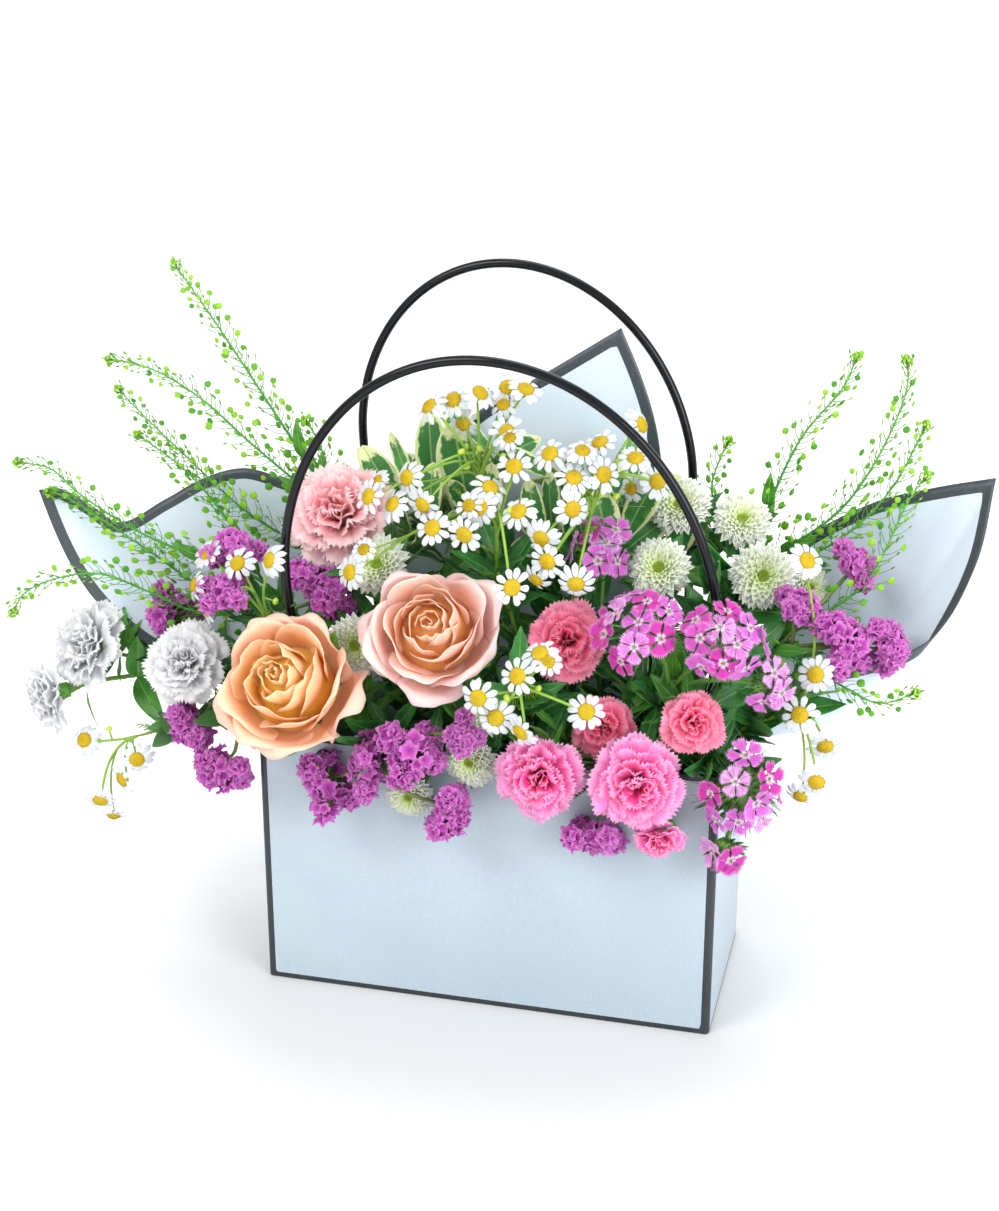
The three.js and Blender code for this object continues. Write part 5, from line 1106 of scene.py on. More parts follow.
def make_chamomile(name, stem, radius, heads, salt):
    """A branching stem with daisies, some side heads and buds, and feathery and narrow leaves."""
    m, r = Mesh(), rng(name)
    curve = main_stem(m, stem, radius, 6, 0)
    for n, head in enumerate(heads):
        head = vec(*head)
        outward = unit(head - branch(curve, head)[0])
        axis = unit(outward * 0.7 + vec(draw(n, salt) - 0.5, -0.75, 0.35))
        axis = unit(axis + r.uniform(-0.45, 0.45, 3) * vec(1, 0.4, 1))
        root = head - axis * 0.22 * DAISY_RADIUS
        path = stalk(curve, root)
        m.tube(path, np.linspace(0.85, 0.7, len(path)), 8, 0, age=0.4, tint=r.uniform())
        daisy(m, head, axis, r)
        if n % 3 == 1 and np.linalg.norm(path[-1] - path[0]) > 22:
            a = any_turn(r)
            aside = head + vec(math.cos(a) * 15, r.uniform(2, 9), math.sin(a) * 13)
            if not in_bloom(aside):
                tilt = unit(axis + vec(math.cos(a), -0.3, math.sin(a)) * 0.6)
                side_path = bezier([path[3], path[6], aside - tilt * 2], np.linspace(0, 1, 7))
                m.tube(side_path, 0.6, 6, 0, age=0.4)
                daisy(m, aside, tilt, r, DAISY_RADIUS * r.uniform(0.72, 0.9))
        if n % 2 == 0:
            here = path[4]
            side = unit(np.cross(path[5] - here, vec(0, 1, 0)) * (1 if n % 4 else -1) + vec(0, -0.3, 0.5))
            m.tube(ahead(here, side, 0, 4, 7), [0.55, 0.5, 0.55], 6, 0, age=0.3)
            m.turned(BUD, seat(here + side * 7, side), 12, slot=3, age=0.3)
    for k in range(5):
        t = 0.3 + 0.13 * k
        here, along = curve.here(t)
        a = k * GOLDEN + salt
        out = vec(math.cos(a), -abs(math.sin(a)) - 0.2, 0.3)
        fern(m, here, unit(out + along * 0.9), along, 17, r)
    curve_leaves(m, curve, 20, 31, 4, r, end=0.8)
    looks = [CHAMOMILE_GREEN, DAISY_PETAL, DAISY_DISC, MUM_HEART, DARK_LEAF]
    m.finish(name + "_spray", looks, [name], slot="chamomile")


PENNYCRESSES = {
    "pennycress_left_high": ([(-66, 34, 143), (-80, 30, 200), (-100, 24, 250), (-112, 18, 266)], [
        [(-108, 19, 262), (-149, 30, 315), (-180, 40, 353), (-209, 48, 387)],
        [(-104, 22, 256), (-117, 30, 290), (-127, 34, 302)],
        [(-96, 25, 242), (-150, 14, 290), (-182, 20, 313), (-214, 26, 327), (-247, 30, 331)],
        [(-91, 27, 228), (-120, 20, 232), (-151, 16, 247), (-196, 20, 282), (-220, 24, 301), (-240, 28, 318)]]),
    "pennycress_left_low": ([(-98, 8, 143), (-112, 4, 180), (-134, -4, 212), (-150, -8, 224)], [
        [(-140, -5, 218), (-164, 4, 250), (-190, 12, 273), (-225, 20, 292)],
        [(-146, -7, 222), (-203, -12, 240), (-246, -8, 261), (-264, -6, 274), (-290, -5, 276)],
        [(-128, -2, 206), (-171, -22, 202), (-196, -30, 214), (-223, -40, 226), (-263, -46, 214), (-274, -48, 196)],
        [(-128, -2, 206), (-152, 2, 202), (-181, 6, 207), (-215, 8, 226), (-246, 12, 242), (-270, 16, 252),
         (-285, 18, 254)]]),
    "pennycress_right_high": ([(96, 30, 143), (104, 26, 190), (122, 24, 232), (130, 22, 256)], [
        [(128, 22, 252), (149, 30, 307), (170, 38, 336), (175, 42, 353)],
        [(124, 23, 240), (104, 30, 276), (112, 32, 306)],
        [(122, 24, 234), (175, 14, 278), (201, 30, 336), (199, 34, 356)],
        [(118, 24, 226), (174, 6, 262), (197, 14, 287), (214, 22, 325)]]),
    "pennycress_right_low": ([(108, -2, 143), (117, -10, 175), (132, -22, 206), (146, -26, 220)], [
        [(141, -25, 216), (186, -14, 242), (208, -2, 289), (217, 0, 303)],
        [(134, -22, 208), (150, -34, 212), (186, -44, 199), (201, -46, 194), (221, -44, 202)]]),
}


POD_FORM = [(0.25, -0.5), (0.62, -0.42), (0.9, -0.16), (1.0, 0.0), (0.9, 0.16), (0.62, 0.42), (0.25, 0.5)]
RACEME_END = 0.965


def pod(m, at, direction, face, radius, r, youth=0.0):
    """A flat round seed pod with a thick middle, a thin rim and a notch at its tip."""
    place = facing(at + unit(direction) * radius, face, direction)
    count = 16
    turn = np.linspace(0, 2 * math.pi, count, endpoint=False) + math.pi / 2
    notch = 1 - 0.22 * np.exp(-((np.minimum(turn - math.pi / 2, 2.5 * math.pi - turn) / 0.3) ** 2))
    rings = []
    for share, z in POD_FORM:
        shape = radius * share * (notch if share > 0.8 else 1.0)
        rings.append(np.stack([shape * np.cos(turn) * 0.92, shape * np.sin(turn), np.full(count, z * 0.9)], -1))
    m.loft(put(np.array(rings), place), age=r.uniform(youth, 0.9), tint=r.uniform())


def out_from(along, a):
    """A direction square to a raceme, at an angle round it."""
    side = unit(np.cross(along, vec(0.1, 1, 0.2)))
    return side * math.cos(a) + np.cross(along, side) * math.sin(a)


def raceme(m, points, r):
    """Round and slender pods on thin stalks round an axis, shorter and younger towards a tuft at its tip."""
    curve = Spline(points)
    path = [curve.at(t) for t in np.linspace(0, RACEME_END, 34)]
    m.tube(path, np.linspace(0.85, 0.38, len(path)), 8, 2, age=np.linspace(1, 0, len(path) + 2))
    count = int(curve.length / 1.45)
    for k in range(count):
        t = mix(0.06, 0.95, k / (count - 1))
        here, along = curve.here(t)
        out = out_from(along, k * GOLDEN + r.uniform(-0.3, 0.3))
        reach = mix(11.5, 3.6, t**2) * r.uniform(0.6, 1.15)
        lean = unit(out + along * mix(0.4, 1.1, t))
        tip = here + lean * reach + along * 0.12 * reach
        m.tube([here, here + lean * reach * 0.55 - along * 0.06 * reach, tip], [0.3, 0.22, 0.24], 5, 2, age=0.4)
        turned_to = unit(np.cross(lean, along) + out * r.uniform(-0.8, 0.8))
        if r.uniform() < mix(0.75, 0.45, t):
            pod(m, tip, unit(lean + along * 0.4), turned_to, mix(2.4, 1.4, t**2) * r.uniform(0.75, 1.1), r)
        else:
            m.tube(ahead(tip, unit(lean + along), 0, 1.0, 2.2), [0.3, 0.55, 0.25], 6, 0, age=r.uniform(0, 0.9))
    end, along = curve.at(RACEME_END), curve.along(0.96)
    for k in range(16):
        out = out_from(along, k * GOLDEN)
        lean = unit(out * (k + 2) / 12 + along)
        tip = end + lean * mix(1.6, 3.0, k / 15) - along * k * 0.22
        m.tube([end - along * (1 + k * 0.3), tip], [0.28, 0.22], 5, 0, age=0.8)
        pod(m, tip, lean, unit(out + along * 0.3), 0.95, r, 0.7)
    for t in (0.03, 0.16):
        here, along = curve.here(t)
        leaf(m, r, here, along + vec(r.uniform(-0.8, 0.8), -0.5, 0.3), vec(0, -1, 0.4), 22, 7, 1)


def make_pennycress(name, stem, racemes):
    m, r = Mesh(), rng(name)
    curve_leaves(m, main_stem(m, stem, 1.4, 6, 2), 12, 30, 1, r)
    for points in racemes:
        raceme(m, points, r)
    m.finish(name + "_spray", [PENNYCRESS, LIGHT_LEAF, PENNYCRESS_STALK], [name], slot="pennycress")


STATICES = {
    "statice_left": ([(-98, -20, 143), (-112, -34, 160), (-128, -40, 174), (-136, -34, 196), (-142, -32, 218)], 1.4, [
        ((-147, -26, 243), 12), ((-144, -48, 224), 11), ((-190, -14, 194), 15), ((-93, -34, 226), 15),
        ((-163, -62, 150), 12), ((-142, -68, 130), 14)]),
    "statice_front": ([(-52, -40, 143), (-52, -48, 153), (-50, -66, 155), (-46, -80, 147)], 1.2, [
        ((-80, -72, 132), 15), ((-55, -80, 146), 12), ((-28, -88, 160), 14), ((-10, -83, 126), 13),
        ((0, -90, 174), 8)]),
    "statice_low": ([(62, -42, 143), (63, -50, 153), (64, -60, 153), (65, -64, 140)], 1, [((65, -72, 117), 12)]),
    "statice_right": ([(102, -14, 143), (114, -24, 172), (138, -32, 204), (158, -30, 214)], 1.3, [
        ((160, -36, 237), 11), ((182, -36, 220), 14), ((204, -30, 219), 11), ((184, -6, 252), 10)]),
}


CUP_FORM = [
    # radius, height, 1 inside, v
    (0.14, -0.95, 0, 0.05), (0.3, -0.5, 0, 0.3), (0.62, -0.12, 0, 0.6), (1, 0.05, 0, 1),
    (0.97, 0.1, 1, 1), (0.58, -0.05, 1, 0.6), (0.26, -0.38, 1, 0.3), (0.1, -0.5, 1, 0.1),
]


def crinkled_cup(m, at, axis, radius, r):
    """A papery funnel with five crinkled lobes; its outer and inner faces are one closed skin."""
    place = seat(at, axis, any_turn(r))
    count = 30
    turn = np.linspace(0, 2 * math.pi, count, endpoint=False)
    phase = any_turn(r, 2)
    lobes = 0.17 * np.cos(5 * turn) + 0.08 * np.cos(7 * turn + phase[0]) + 0.07 * np.cos(13 * turn + phase[1])
    crinkle = 0.2 * np.cos(5 * turn + phase[1]) + 0.12 * np.cos(9 * turn + phase[0]) + 0.07 * np.cos(14 * turn)
    rings, ages = [], []
    for share, z, inner, _ in CUP_FORM:
        w = share**2
        rr = radius * share * (1 + lobes * w)
        rings.append(np.stack([rr * np.cos(turn), rr * np.sin(turn), radius * (z + crinkle * w)], -1))
        ages.append(share if inner else share * 0.8)
    m.loft(put(np.array(rings), place), age=np.array(ages), tint=r.uniform())
    n = count * len(rings)
    v = np.concatenate([np.repeat([v for *_, v in CUP_FORM], count), [0, 0]])
    u = np.concatenate([np.tile(turn / (2 * math.pi), len(rings)), [0.5, 0.5]])
    m.uv[-1] = np.stack([u, v], -1)
    side = np.concatenate([np.repeat([1.0, 0.0], n // 2), [1, 0]])
    m.info[-1] = np.stack([m.info[-1][:, 0], side, m.info[-1][:, 2]], -1)


def fill_lump(m, place, heart, centre, size, count, r):
    """Florets over a rounded lump, each on a short green tube from the cluster's heart."""
    for k in range(count):
        z = 1 - 1.6 * (k + 0.5) / count
        flat = math.sqrt(max(0.0, 1 - z * z))
        out = unit(around(k * GOLDEN, z, flat, place) + r.uniform(-0.12, 0.12, 3))
        floret = r.uniform(3.0, 5.2)
        spot = centre + out * (size - 3.4) * r.uniform(0.8, 1.18)
        base = mix(heart, centre, 0.5)
        m.tube([base, mix(base, spot, 0.6), spot - out * floret * 0.7], [0.7, 0.9, 1.1], 6, 1, age=0.5)
        crinkled_cup(m, spot, unit(out + r.uniform(-0.35, 0.35, 3)), floret, r)


def make_statice(name, stem, radius, clusters):
    """A winged stem with clusters, each a large lump of florets and four smaller ones."""
    m, r = Mesh(), rng(name)
    curve = main_stem(m, stem, radius, 5, 1, wings=1.6)
    for at, size in clusters:
        centre = vec(*at)
        axis = unit(centre - branch(curve, centre)[0])
        cluster_stalk(m, curve, centre, axis, 0.85 * size, 0.3 * size, 1.05)
        place = seat(centre, axis)
        lumps = [(centre, size, 1.0)]
        first = any_turn(r)
        for k in range(4):
            aside = around(first + k * 1.7, r.uniform(-0.5, 0.2), place=place)
            lumps.append((centre + aside * size * r.uniform(0.75, 1.1), size * r.uniform(0.55, 0.72), 0.5))
        for lump, reach_of, share in lumps:
            fill_lump(m, place, centre, lump, reach_of, int((9 + size * 1.75) * share), r)
    curve_leaves(m, curve, 14, 28, 2, r, end=0.9)
    m.finish(name + "_florets", [STATICE, STEM_DARK, DARK_LEAF], [name], slot="statice")


FLORET_RADIUS, FLORET_THICKNESS = 10.2, 0.28
WILLIAM_HEART = [(0.08, -0.5), (0.34, -0.35), (0.52, -0.15), (0.58, 0.05), (0.45, 0.28), (0.15, 0.42)]
SWEET_WILLIAMS = {
    "sweet_william_upper": ([(82, -26, 143), (90, -40, 175), (100, -56, 200)], 1.6, [
        ((87, -78, 233), (-0.3, -0.8, 0.55), 22, 10), ((126, -82, 230), (0.35, -0.8, 0.5), 21, 10),
        ((147, -78, 211), (0.75, -0.6, 0.1), 13, 4)]),
    "sweet_william_top": ([(52, -6, 143), (54, -16, 200), (56, -22, 242)], 1.4, [
        ((56, -28, 256), (0, -0.7, 0.7), 17, 7)]),
    "sweet_william_corner": ([(104, -40, 143), (110, -50, 157), (122, -62, 160), (130, -66, 152)], 1.4, [
        ((137, -72, 152), (0.3, -0.95, 0.1), 23, 9), ((131, -70, 118), (0, -0.9, -0.5), 11, 3)]),
}


def flat_floret(m, centre, outward, size, kind, r):
    """Five wedge petals with toothed outer edges on a thin tube, with two fine curled styles."""
    place = seat(centre, outward, any_turn(r))
    cup = r.uniform(-0.12, 0.3)
    for k in range(5):
        cols = 19
        v, c = fan(10, cols)
        jag = 1 - 0.2 * (np.arange(cols) % 2) * r.uniform(0.6, 1.2, cols)
        along = v * (1 - 0.16 * np.abs(c) ** 3) * mix(1, jag, smoothstep(0.78, 1, v)) * r.uniform(0.9, 1.0)
        reach = r.uniform(0.52, 0.62)
        wedge = 1.14 - 0.3 * smoothstep(0.05, 0.4, v) + 0.2 * smoothstep(0.45, 1, v)
        turn = k * 2 * math.pi / 5 + r.uniform(-0.08, 0.08) + c * reach * wedge
        radius = 0.02 + 0.97 * along
        z = (cup + r.uniform(-0.14, 0.14)) * along**1.5 + 0.06 * c * v + 0.05 * np.sin(c * 5 + k) * v**2
        m.sheet(polar(turn, radius, z, size, place), FLORET_THICKNESS, age=v, tint=kind, petal=True)
    m.tube(ahead(centre, outward, -9, -4, -0.6), [0.9, 1.0, 0.9], 8, 1, age=0.3)
    for _ in range(2):
        lean = around(any_turn(r), 1.2, place=place)
        m.tube([centre, centre + lean * 0.9, centre + lean * 1.5 + outward * 0.3], [0.2, 0.2, 0.14], 4, 0, tint=kind)


def make_sweet_william(name, stem, radius, heads):
    """Domed heads of flat florets with spiky bracts between them."""
    m, r = Mesh(), rng(name)
    curve = main_stem(m, stem, radius, 5, 1)
    for at, axis, size, florets in heads:
        up, at = unit(vec(*axis)), vec(*at)
        cluster_stalk(m, curve, at, up, 0.6 * size, 0.1 * size, 1.25)
        place = seat(at, axis)
        m.turned(WILLIAM_HEART, place, 20, size, slot=1, age=0.8)
        curve_leaves(m, curve, 9, 30, 3, r)
        open_at = []
        for n in range(florets):
            tilt = 1.35 * math.sqrt((n + 0.3) / florets)
            out = around(n * GOLDEN, math.cos(tilt), math.sin(tilt))
            centre = put(out * vec(size - 3, size - 3, size * 0.72) * r.uniform(0.95, 1.04), place)
            outward = unit(place[:3, :3] @ out + up * 0.3 + r.uniform(-0.42, 0.42, 3))
            open_at.append(centre)
            centre, spread = centre + outward * r.uniform(-1, 2), FLORET_RADIUS * r.uniform(0.85, 1.04)
            flat_floret(m, centre, outward, spread, r.uniform(), r)
        for n in range(int(size * 6)):
            tilt = 0.2 + 1.6 * math.sqrt((n + 0.5) / (size * 6))
            out = around(n * GOLDEN + 1.1, math.cos(tilt), math.sin(tilt), place)
            side = unit(np.cross(out, up) + 1e-6)
            apart = min(np.linalg.norm(at + out * size * 0.85 - spot) for spot in open_at)
            reach = size * (r.uniform(0.5, 0.72) if apart > 8.5 else r.uniform(0.2, 0.3))
            leaf(m, r, at + out * size * 0.42, out + up * r.uniform(0, 0.4), side + out * 0.1, reach, 2.4, 2,
                 rows=5, cols=3, curl=-0.1, thickness=0.35, widest=0.45)
    m.finish(name + "_florets", [SWEET_WILLIAM, STEM, BRACT, DARK_LEAF], [name], slot="sweet_william")


TWIGS = {
    # stem, leaves, where they start, a leaf's length and width
    "pittosporum_left": ([(-34, 26, 143), (-36, 24, 220), (-34, 16, 285)], 7, 0.62, (40, 17)),
    "pittosporum_right": ([(36, 26, 143), (38, 26, 220), (42, 18, 272)], 5, 0.6, (38, 16)),
}
TWIG_LEAF = dict(fold=0.2, thickness=0.5)
SIDE_TWIGS = {
    # where each leaves the stem, and its tip
    "pittosporum_left": [(0.5, (-64, 10, 276)), (0.6, (-10, 6, 292)), (0.42, (-52, -4, 250)), (0.5, (-18, -6, 262))],
    "pittosporum_right": [(0.5, (66, 8, 280)), (0.55, (22, 6, 284)), (0.4, (60, -4, 246)), (0.42, (24, -8, 250))],
}
LARGE_LEAVES = {
    # base, tip, width
    "pittosporum_left": [
        ((-58, 2, 258), (-79, -2, 299), 17), ((-52, 0, 262), (-59, -4, 308), 9), ((-38, 0, 262), (-49, -4, 319), 17),
        ((-21, -4, 256), (-24, -8, 315), 25), ((-40, -12, 258), (-37, -22, 296), 14),
        ((-12, -10, 252), (-2, -16, 296), 15)],
    "pittosporum_right": [
        ((56, -2, 246), (49, -8, 284), 19), ((62, 0, 254), (79, -4, 296), 17), ((26, -4, 250), (21, -10, 292), 11),
        ((20, -6, 250), (12, -14, 288), 13), ((36, -8, 246), (41, -16, 286), 13), ((84, 8, 240), (98, 2, 272), 15)],
}


def twig_leaf(m, here, along, turn, size, r):
    """A leaf on a short stalk that leans out from a twig."""
    out = around(turn)
    direction = unit(out + along * 1.1)
    m.tube(ahead(here, direction, 0, 3, 6), [0.8, 0.7, 0.6], 6, 1, age=0.6)
    leaf(m, r, here + direction * 2, direction, along - out, size[0] - 2, size[1], rows=22, cols=13, curl=0.06,
         wave=0.022, widest=1.2, blunt=0.6, **TWIG_LEAF)


def make_twig(name, stem, leaves, start, size):
    """A leafy twig with side twigs and, on stalks of their own, the large leaves that show most."""
    m, r = Mesh(), rng(name)
    curve = main_stem(m, stem, 1.5, 6, 1)
    for n in range(leaves):
        scale = mix(0.85, 1.05, draw(n, 3))
        t = mix(start, 0.99, n / (leaves - 1))
        twig_leaf(m, *curve.here(t), n * GOLDEN, (size[0] * scale, size[1] * scale), r)
    for share, tip in SIDE_TWIGS[name]:
        (here, along), tip = curve.here(share), vec(*tip)
        bend = here + along * 0.5 * np.linalg.norm(tip - here)
        side = Spline(bezier([here, bend, tip], np.linspace(0, 1, 8)))
        m.tube(side.spaced(12), np.linspace(1.1, 0.7, 13), 8, 1, age=0.6)
        for n in range(8):
            t = mix(0.45, 1.0, n / 7)
            scale = r.uniform(0.62, 0.88)
            twig_leaf(m, *side.here(t), n * GOLDEN + share * 9, (size[0] * scale, size[1] * scale), r)
    for base, tip, width in LARGE_LEAVES[name]:
        base, tip = vec(*base), vec(*tip)
        twig = stalk(curve, base)
        m.tube(twig, np.linspace(1.0, 0.8, len(twig)), 6, 1, age=0.6)
        face = vec(r.uniform(-0.1, 0.5), -1, r.uniform(0.1, 0.5))
        leaf(m, r, base - unit(tip - base), tip - base, face, np.linalg.norm(tip - base), width, rows=26, cols=15,
             curl=0.05, widest=1.35, blunt=0.55, **TWIG_LEAF)
    m.finish(name + "_leaves", [PITTOSPORUM, STEM], [name], slot="pittosporum")


# ---------------------------------------------------------------- stems of the larger blooms

LEAVES_BELOW = {
    # kind: leaves, length, width, teeth, slot, bloom's root in bloom radii, how far below it they start
    "rose": (4, 30, 17, 1, 0, 0.69, 6), "carnation": (4, 26, 3.4, 0, 1, 0.52, 9), "mum": (3, 22, 10, 1, 0, 0.36, 5),
}
BARE_BELOW = 143
STEM_NODES = sorted(node for node in NODES if node.endswith("_stem"))
STEM_VOXEL, STEM_GROWTH, STEM_RIPPLE = 0.00042, 0.00035, 0.00012


def kind_of(name):
    """rose, carnation or mum."""
    return name.split("_")[0]


def make_stem(node):
    """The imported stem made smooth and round, in metres."""
    rough = NODES[node].data.copy()
    ob = bpy.data.objects.new(node + "_round", rough)
    bpy.context.scene.collection.objects.link(ob)
    remesh = ob.modifiers.new("remesh", "REMESH")
    remesh.mode, remesh.voxel_size = "VOXEL", STEM_VOXEL
    calm = ob.modifiers.new("calm", "SMOOTH")
    calm.factor, calm.iterations = 0.5, 7
    me = bpy.data.meshes.new_from_object(ob.evaluated_get(bpy.context.evaluated_depsgraph_get()))
    ob.data = me
    ob.modifiers.clear()
    bpy.data.meshes.remove(rough)
    count = len(me.vertices)
    normals, co = np.zeros(count * 3), np.zeros(count * 3)
    me.vertices.foreach_get("normal", normals)
    me.vertices.foreach_get("co", co)
    normals = normals.reshape(-1, 3)
    co = co.reshape(-1, 3) + normals * STEM_GROWTH
    ripple = STEM_RIPPLE * np.sin(co[:, 2] * 700)[:, None] * normals
    me.vertices.foreach_set("co", (co + ripple).ravel())
    me.polygons.foreach_set("use_smooth", np.ones(len(me.polygons), bool))
    me.materials.clear()
    me.materials.append(STEM)
    me.uv_layers.new(name="Petal")
    info = np.zeros((count, 3))
    info[:, 0] = np.clip(1.4 - (co[:, 2] - FOAM_FOOT * MM) * 12, 0, 1)
    me.attributes.new("info", "FLOAT_VECTOR", "POINT").data.foreach_set("vector", info.ravel())
    me.update()
    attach(ob, "root")
    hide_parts(node)


def points_of(node):
    return np.array([v.co[:] for v in NODES[node].data.vertices]) / MM


def add_stem_leaves(m, node):
    """Leaves up the visible part of a packed stem, each with its base on the stem's surface."""
    girth, per_mm = 9, 0.25
    me = NODES[node].data
    co, r = points_of(node), rng(node, 9)
    me.calc_loop_triangles()
    tris = np.array([t.vertices[:] for t in me.loop_triangles])
    a, b, c = co[tris[:, 0]], co[tris[:, 1]], co[tris[:, 2]]
    areas = np.linalg.norm(np.cross(b - a, c - a), axis=1) / 2
    count = int(areas.sum() / girth * per_mm)
    chosen = r.choice(len(tris), size=count, p=areas / areas.sum())
    for k in chosen:
        p, q = sorted(r.uniform(size=2))
        base = a[k] * p + b[k] * (q - p) + c[k] * (1 - q)
        if base[2] < BARE_BELOW:
            continue
        way = any_turn(r)
        direction = vec(math.cos(way), 0.8 * math.sin(way) - 0.15, r.uniform(0.4, 1.3))
        length = r.uniform(22, 38)
        face = direction * vec(-1, -1, 0.3) + vec(0, -0.6, 0.6)
        leaf(m, r, base, direction, face, length, length * r.uniform(0.24, 0.42), int(r.uniform() < 0.45), rows=13,
             teeth=int(r.uniform() < 0.4), curl=r.uniform(0.05, 0.25), shy=True)


GAPS = [
    (-85, -24, 224), (-75, -28, 216), (-78, -32, 206), (-91, -24, 213), (117, -24, 249), (123, -14, 253),
    (104, -30, 239), (98, -48, 214), (98, -52, 201), (135, -48, 197), (143, -24, 230), (142, -34, 218),
    (111, -44, 219), (6, 2, 239), (19, 0, 222), (31, -6, 214), (-6, 6, 245), (43, -6, 222), (32, -16, 202),
    (-22, 4, 236), (14, -10, 207), (50, 0, 234), (20, 6, 235), (2, -2, 224), (38, 2, 240), (115, -14, 248),
    (108, -20, 244), (122, -6, 250), (-240, -40, 151), (-226, -26, 157), (-214, -18, 165), (-208, -20, 146),
    (-222, -22, 172),
]


def fill_gaps(m):
    """A broad leaf across each gap, on a stalk from the nearest packed stem below it."""
    stems = np.concatenate([points_of(node) for node in STEM_NODES])
    r = rng("gaps")
    for spot in GAPS:
        spot = vec(*spot)
        away = np.linalg.norm(stems - (spot - vec(0, -4, 26)), axis=1)
        foot = stems[int(np.argmin(away + 60 * (stems[:, 2] < BARE_BELOW + 3)))]
        length = r.uniform(30, 40)
        apart = np.linalg.norm(spot - foot)
        rise = unit(spot - foot + r.uniform(-0.2, 0.2, 3) * vec(1, 0.3, 0.5) * apart)
        base = spot - rise * length * 0.55
        if apart > length * 0.6:
            path = bezier([foot, mix(foot, base, 0.5) + vec(0, 0, 2), base + rise], np.linspace(0, 1, 7))
            m.tube(path, np.linspace(0.9, 0.7, 7), 6, 0, age=0.5)
        else:
            base = foot
        face = vec(r.uniform(-0.3, 0.6), -1, r.uniform(0.1, 0.7))
        leaf(m, r, base, rise, face, length, length * r.uniform(0.36, 0.5), int(r.uniform() < 0.4), rows=18, cols=9,
             curl=r.uniform(0.0, 0.15), shy=True)


def make_bloom_leaves():
    """Green leaves just under the larger blooms, which fill the dark gaps between them."""
    m = Mesh()
    fill_gaps(m)
    for name, at, axis, size, _, _ in BLOOMS:
        kind = kind_of(name)
        count, length, width, teeth, slot, root, below = LEAVES_BELOW[kind]
        r = rng(name, 5)
        up = unit(vec(*axis))
        place = bloom_place(at, axis)
        base = vec(*at) - up * (root * size + below)
        for k in range(count):
            a = 2 * math.pi * (k + r.uniform(-0.2, 0.2)) / count + 0.5
            direction = unit(around(a, place=place) + up * r.uniform(0.1, 0.5) + vec(0, 0, 0.25))
            scale = min(1.0, (size * 1.15 + 4) / length) * r.uniform(0.85, 1.05)
            rows = 17 if teeth else 12
            leaf(m, r, base, direction, up, length * scale, width * scale, slot, rows=rows, teeth=teeth)
    for node in STEM_NODES:
        add_stem_leaves(m, node)
    m.finish("bloom_leaves", [DARK_LEAF, LIGHT_LEAF], slot="stem")


# ---------------------------------------------------------------- everything in its place

make_bag()
for name, hoop in HOOPS.items():
    make_handle(name, hoop)
for name, paper in SHEETS.items():
    make_sheet(name, paper)
for name, at, axis, size, slot, look in BLOOMS:
    if kind_of(name) == "rose":
        make_rose(name, at, axis, size, look, slot)
    elif kind_of(name) == "mum":
        make_mum(name, at, axis, size)
    else:
        make_carnation(name, at, axis, size, look, slot)
for salt, (name, (stem, radius, heads)) in enumerate(CHAMOMILES.items()):
    make_chamomile(name, stem, radius, heads, salt)
for name, (stem, racemes) in PENNYCRESSES.items():
    make_pennycress(name, stem, racemes)
for name, (stem, radius, clusters) in STATICES.items():
    make_statice(name, stem, radius, clusters)
for name, (stem, radius, heads) in SWEET_WILLIAMS.items():
    make_sweet_william(name, stem, radius, heads)
for name, (stem, leaves, start, size) in TWIGS.items():
    make_twig(name, stem, leaves, start, size)
for node in NODES:
    if node.endswith("_stem"):
        make_stem(node)
make_bloom_leaves()

# ---------------------------------------------------------------- floor, light and camera

scene = bpy.context.scene
BACKDROP_START, BACKDROP_RADIUS = 1.2, 1.2
CAMERA_PLACE, CAMERA_TARGET = (0.22374, -0.89457, 0.52853), (-0.00495, 0.0, 0.21258)
LENS, SENSOR = 53.51, 36.0


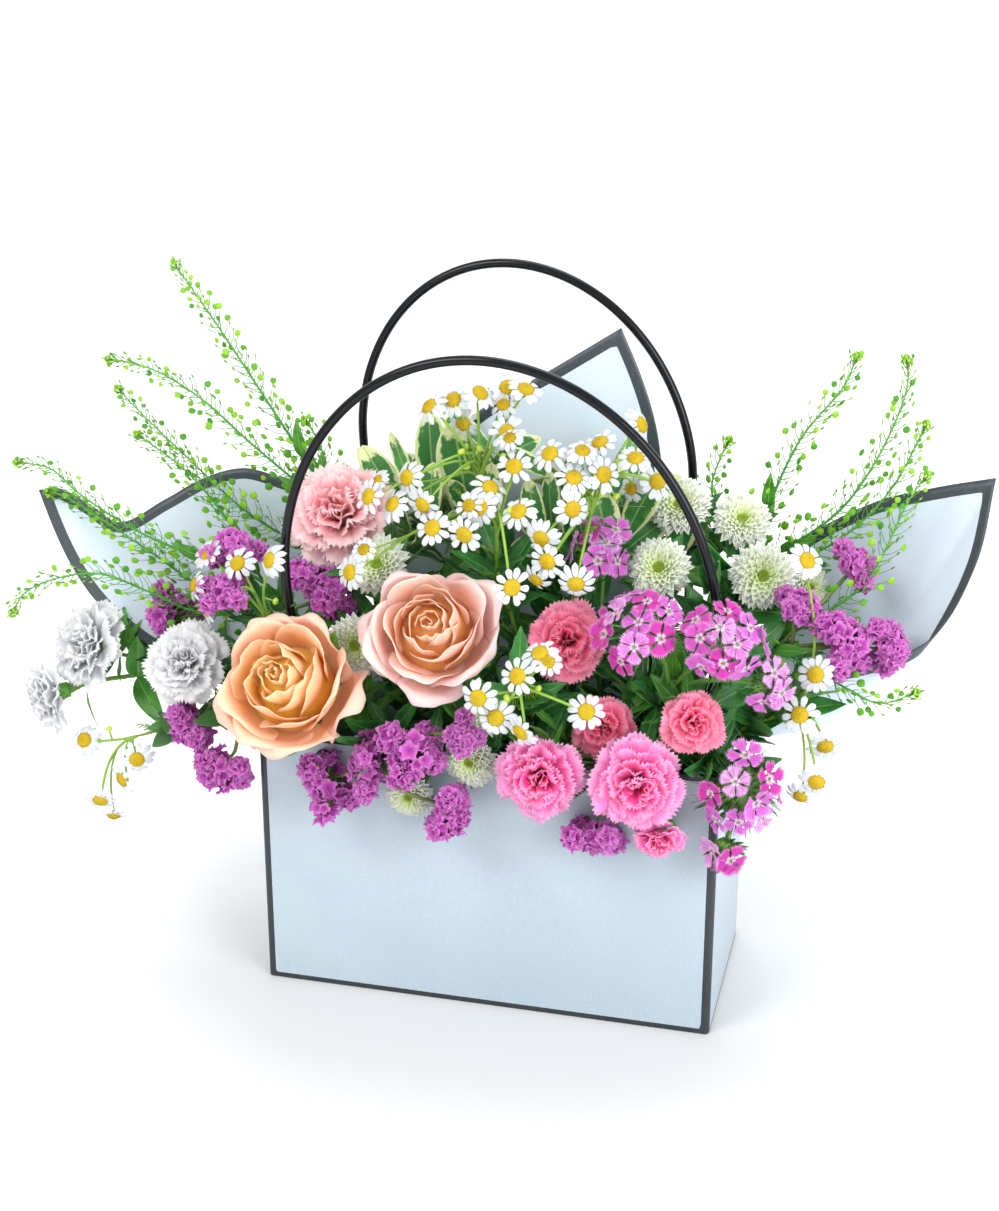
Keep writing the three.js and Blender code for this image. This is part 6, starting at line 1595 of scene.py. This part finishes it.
def make_floor():
    """A pale floor that curves up into a backdrop far behind, with a painted shadow that greys it round the bag."""
    rows = [(-3.0, 0.0), (BACKDROP_START, 0.0)]
    for a in np.linspace(0.1, math.pi / 2, 14):
        rows.append((BACKDROP_START + BACKDROP_RADIUS * math.sin(a), BACKDROP_RADIUS * (1 - math.cos(a))))
    rows.append((2.4, 4.5))
    points = [(x, y, z) for y, z in rows for x in (-5.0, 5.0)]
    faces = [(2 * k, 2 * k + 1, 2 * k + 3, 2 * k + 2) for k in range(len(rows) - 1)]
    me = bpy.data.meshes.new("floor")
    me.from_pydata(points, [], faces)
    me.polygons.foreach_set("use_smooth", np.ones(len(faces), bool))
    n = Nodes("studio_floor")
    away = n.new("VectorMath", {0: n.place()}, operation="LENGTH").outputs["Value"]
    # Painted shadow: the floor is grey within about 0.12 m of the bag's middle and fades to white by 0.42 m.
    near = n.mix(n.noise(3.0, 2.0), "#cfd1d2", "#d3d5d6")
    n.feed(n.shader.inputs["Base Color"], n.mix(n.step(Value(n, away), 0.12, 0.42), near, "#ffffff"))
    me.materials.append(n.mat)
    ob = bpy.data.objects.new("floor", me)
    scene.collection.objects.link(ob)


def aimed(name, data, place, target):
    """A light or camera at a place, looking at a target."""
    ob = bpy.data.objects.new(name, data)
    ob.location = place
    ob.rotation_euler = (Vector(place) - Vector(target)).to_track_quat("Z", "Y").to_euler()
    scene.collection.objects.link(ob)
    return ob


def area_light(name, place, height, size, power, colour=(1, 1, 1)):
    light = bpy.data.lights.new(name, "AREA")
    light.shape, light.size, light.energy, light.color = "DISK", size, power, colour
    aimed(name, light, place, (0, 0, height))


make_floor()
area_light("key", (-0.9, -1.3, 1.6), 0.18, 1.1, 21, (1.0, 0.99, 0.97))
area_light("fill", (1.5, -1.1, 0.9), 0.2, 1.4, 32, (0.97, 0.98, 1.0))
area_light("top", (0.1, 0.5, 1.9), 0.2, 1.2, 12)

world = bpy.data.worlds.new("studio")
world.use_nodes = True
background = world.node_tree.nodes["Background"]
background.inputs["Color"].default_value = (0.95, 0.95, 0.955, 1)
background.inputs["Strength"].default_value = 0.9
scene.world = world
scene.view_settings.view_transform = "Standard"

camera = bpy.data.cameras.new("camera")
camera.sensor_width, camera.lens = SENSOR, LENS
scene.camera = aimed("camera", camera, CAMERA_PLACE, CAMERA_TARGET)
